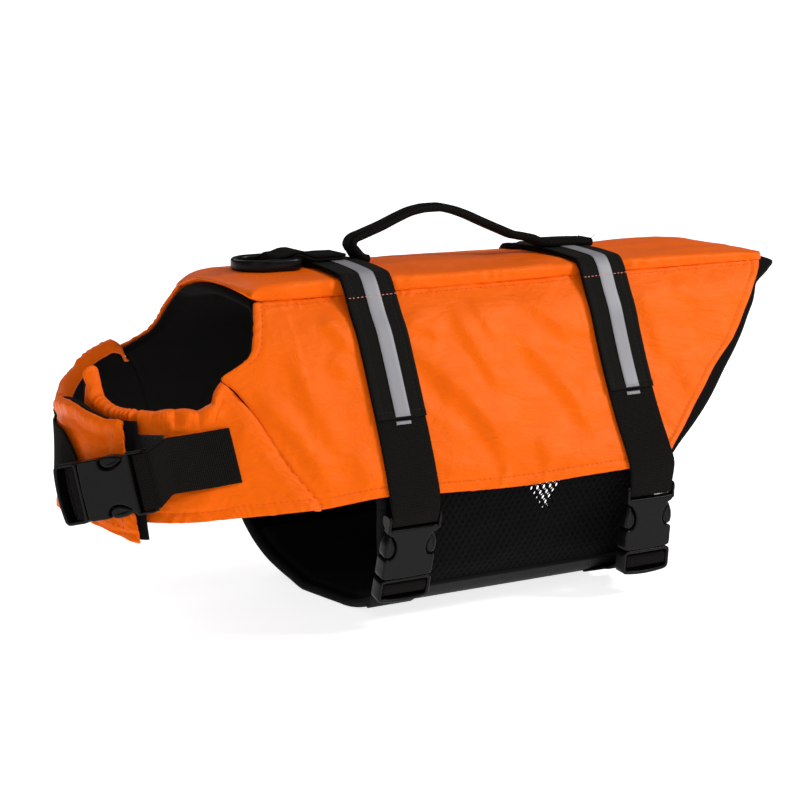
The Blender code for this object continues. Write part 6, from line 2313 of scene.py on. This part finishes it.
@dataclass
class Studio:
    """Plain pale floor, soft light and the camera."""

    focal: float = 104.85
    eye: tuple = (-0.8921, -1.4585, 0.4803)
    target: tuple = (-0.0155, 0.0004, 0.1433)
    lit: tuple = (0.0, 0.0, 0.12)
    ambient: float = 0.12

    def aim(self, made: bpy.types.Object, place: tuple, target: tuple) -> None:
        """Puts a camera or lamp in its place and turns it to its target."""
        made.location = place
        made.rotation_euler = (Vector(target) - Vector(place)).to_track_quat("-Z", "Y").to_euler()

    def camera(self) -> None:
        """The camera, level, looking at its target."""
        lens = bpy.data.cameras.new("camera")
        lens.lens = self.focal
        lens.sensor_width = 36.0
        lens.clip_end = 100.0
        made = link("camera", lens)
        self.aim(made, self.eye, self.target)
        bpy.context.scene.camera = made

    def lamp(self, name: str, place: tuple, size: float, power: float) -> None:
        """A square soft light that faces the jacket."""
        light = bpy.data.lights.new(name, "AREA")
        light.shape = "SQUARE"
        light.size = size
        light.energy = power
        self.aim(link(name, light), place, self.lit)

    def floor(self) -> None:
        """A wide sheet of white paper."""
        size = np.linspace(-30.0, 30.0, 3) / MM
        x, y = np.meshgrid(size, size, indexing="ij")
        points = np.stack([x, y, 0.0 * x], -1) + np.array(PATTERN_CENTRE)
        made = surface("floor", points, None, UP)
        made.data.materials.append(FLOOR.material())

    def build(self) -> None:
        """Camera, floor, lamps and the pale surroundings."""
        self.camera()
        self.floor()
        world = bpy.data.worlds.new("studio")
        world.use_nodes = True
        back = world.node_tree.nodes["Background"]
        back.inputs["Color"].default_value = linear(WHITE)
        back.inputs["Strength"].default_value = self.ambient
        bpy.context.scene.world = world
        self.lamp("key", (2.1, -1.5, 1.9), 0.8, 58.0)
        self.lamp("fill", (-1.7, -1.9, 1.3), 1.6, 13.0)
        self.lamp("back", (-0.3, 2.4, 2.2), 1.4, 13.0)
        self.lamp("top", (0.2, -0.2, 2.3), 1.6, 10.0)
        bpy.context.scene.view_settings.view_transform = "Standard"


def main() -> None:
    """Builds the jacket, piece by piece, and the studio."""
    logging.basicConfig(level=logging.INFO, format="%(message)s")
    Studio().build()
    BackSlab().build()
    BodyLining().build()
    for side, shift, seed in ((-1, 0.0, 11), (1, 9.0, 19)):
        SidePanel(side, fold_shift=shift, seed=seed).build()
        reach = RIGHT_FLAP_REACH if side > 0 else 0.0
        ChestFlap(side, seed=31 + seed, reach=reach).cover()
        ChestFlap(side, columns=120, reach=FLAP_LINING_REACH + reach).lining()
    ChestFlap(-1).patch()
    Belly().build()
    Harness().build()
    BackFittings().build()
    for label, axes in (("front", FRONT_BUCKLE), ("rear", REAR_BUCKLE), ("chest", CHEST_BUCKLE)):
        Buckle(label, axes, stretch=CHEST_STRETCH if label == "chest" else 1.0).build()
    LeadRing().build()


if __name__ == "__main__":
    main()
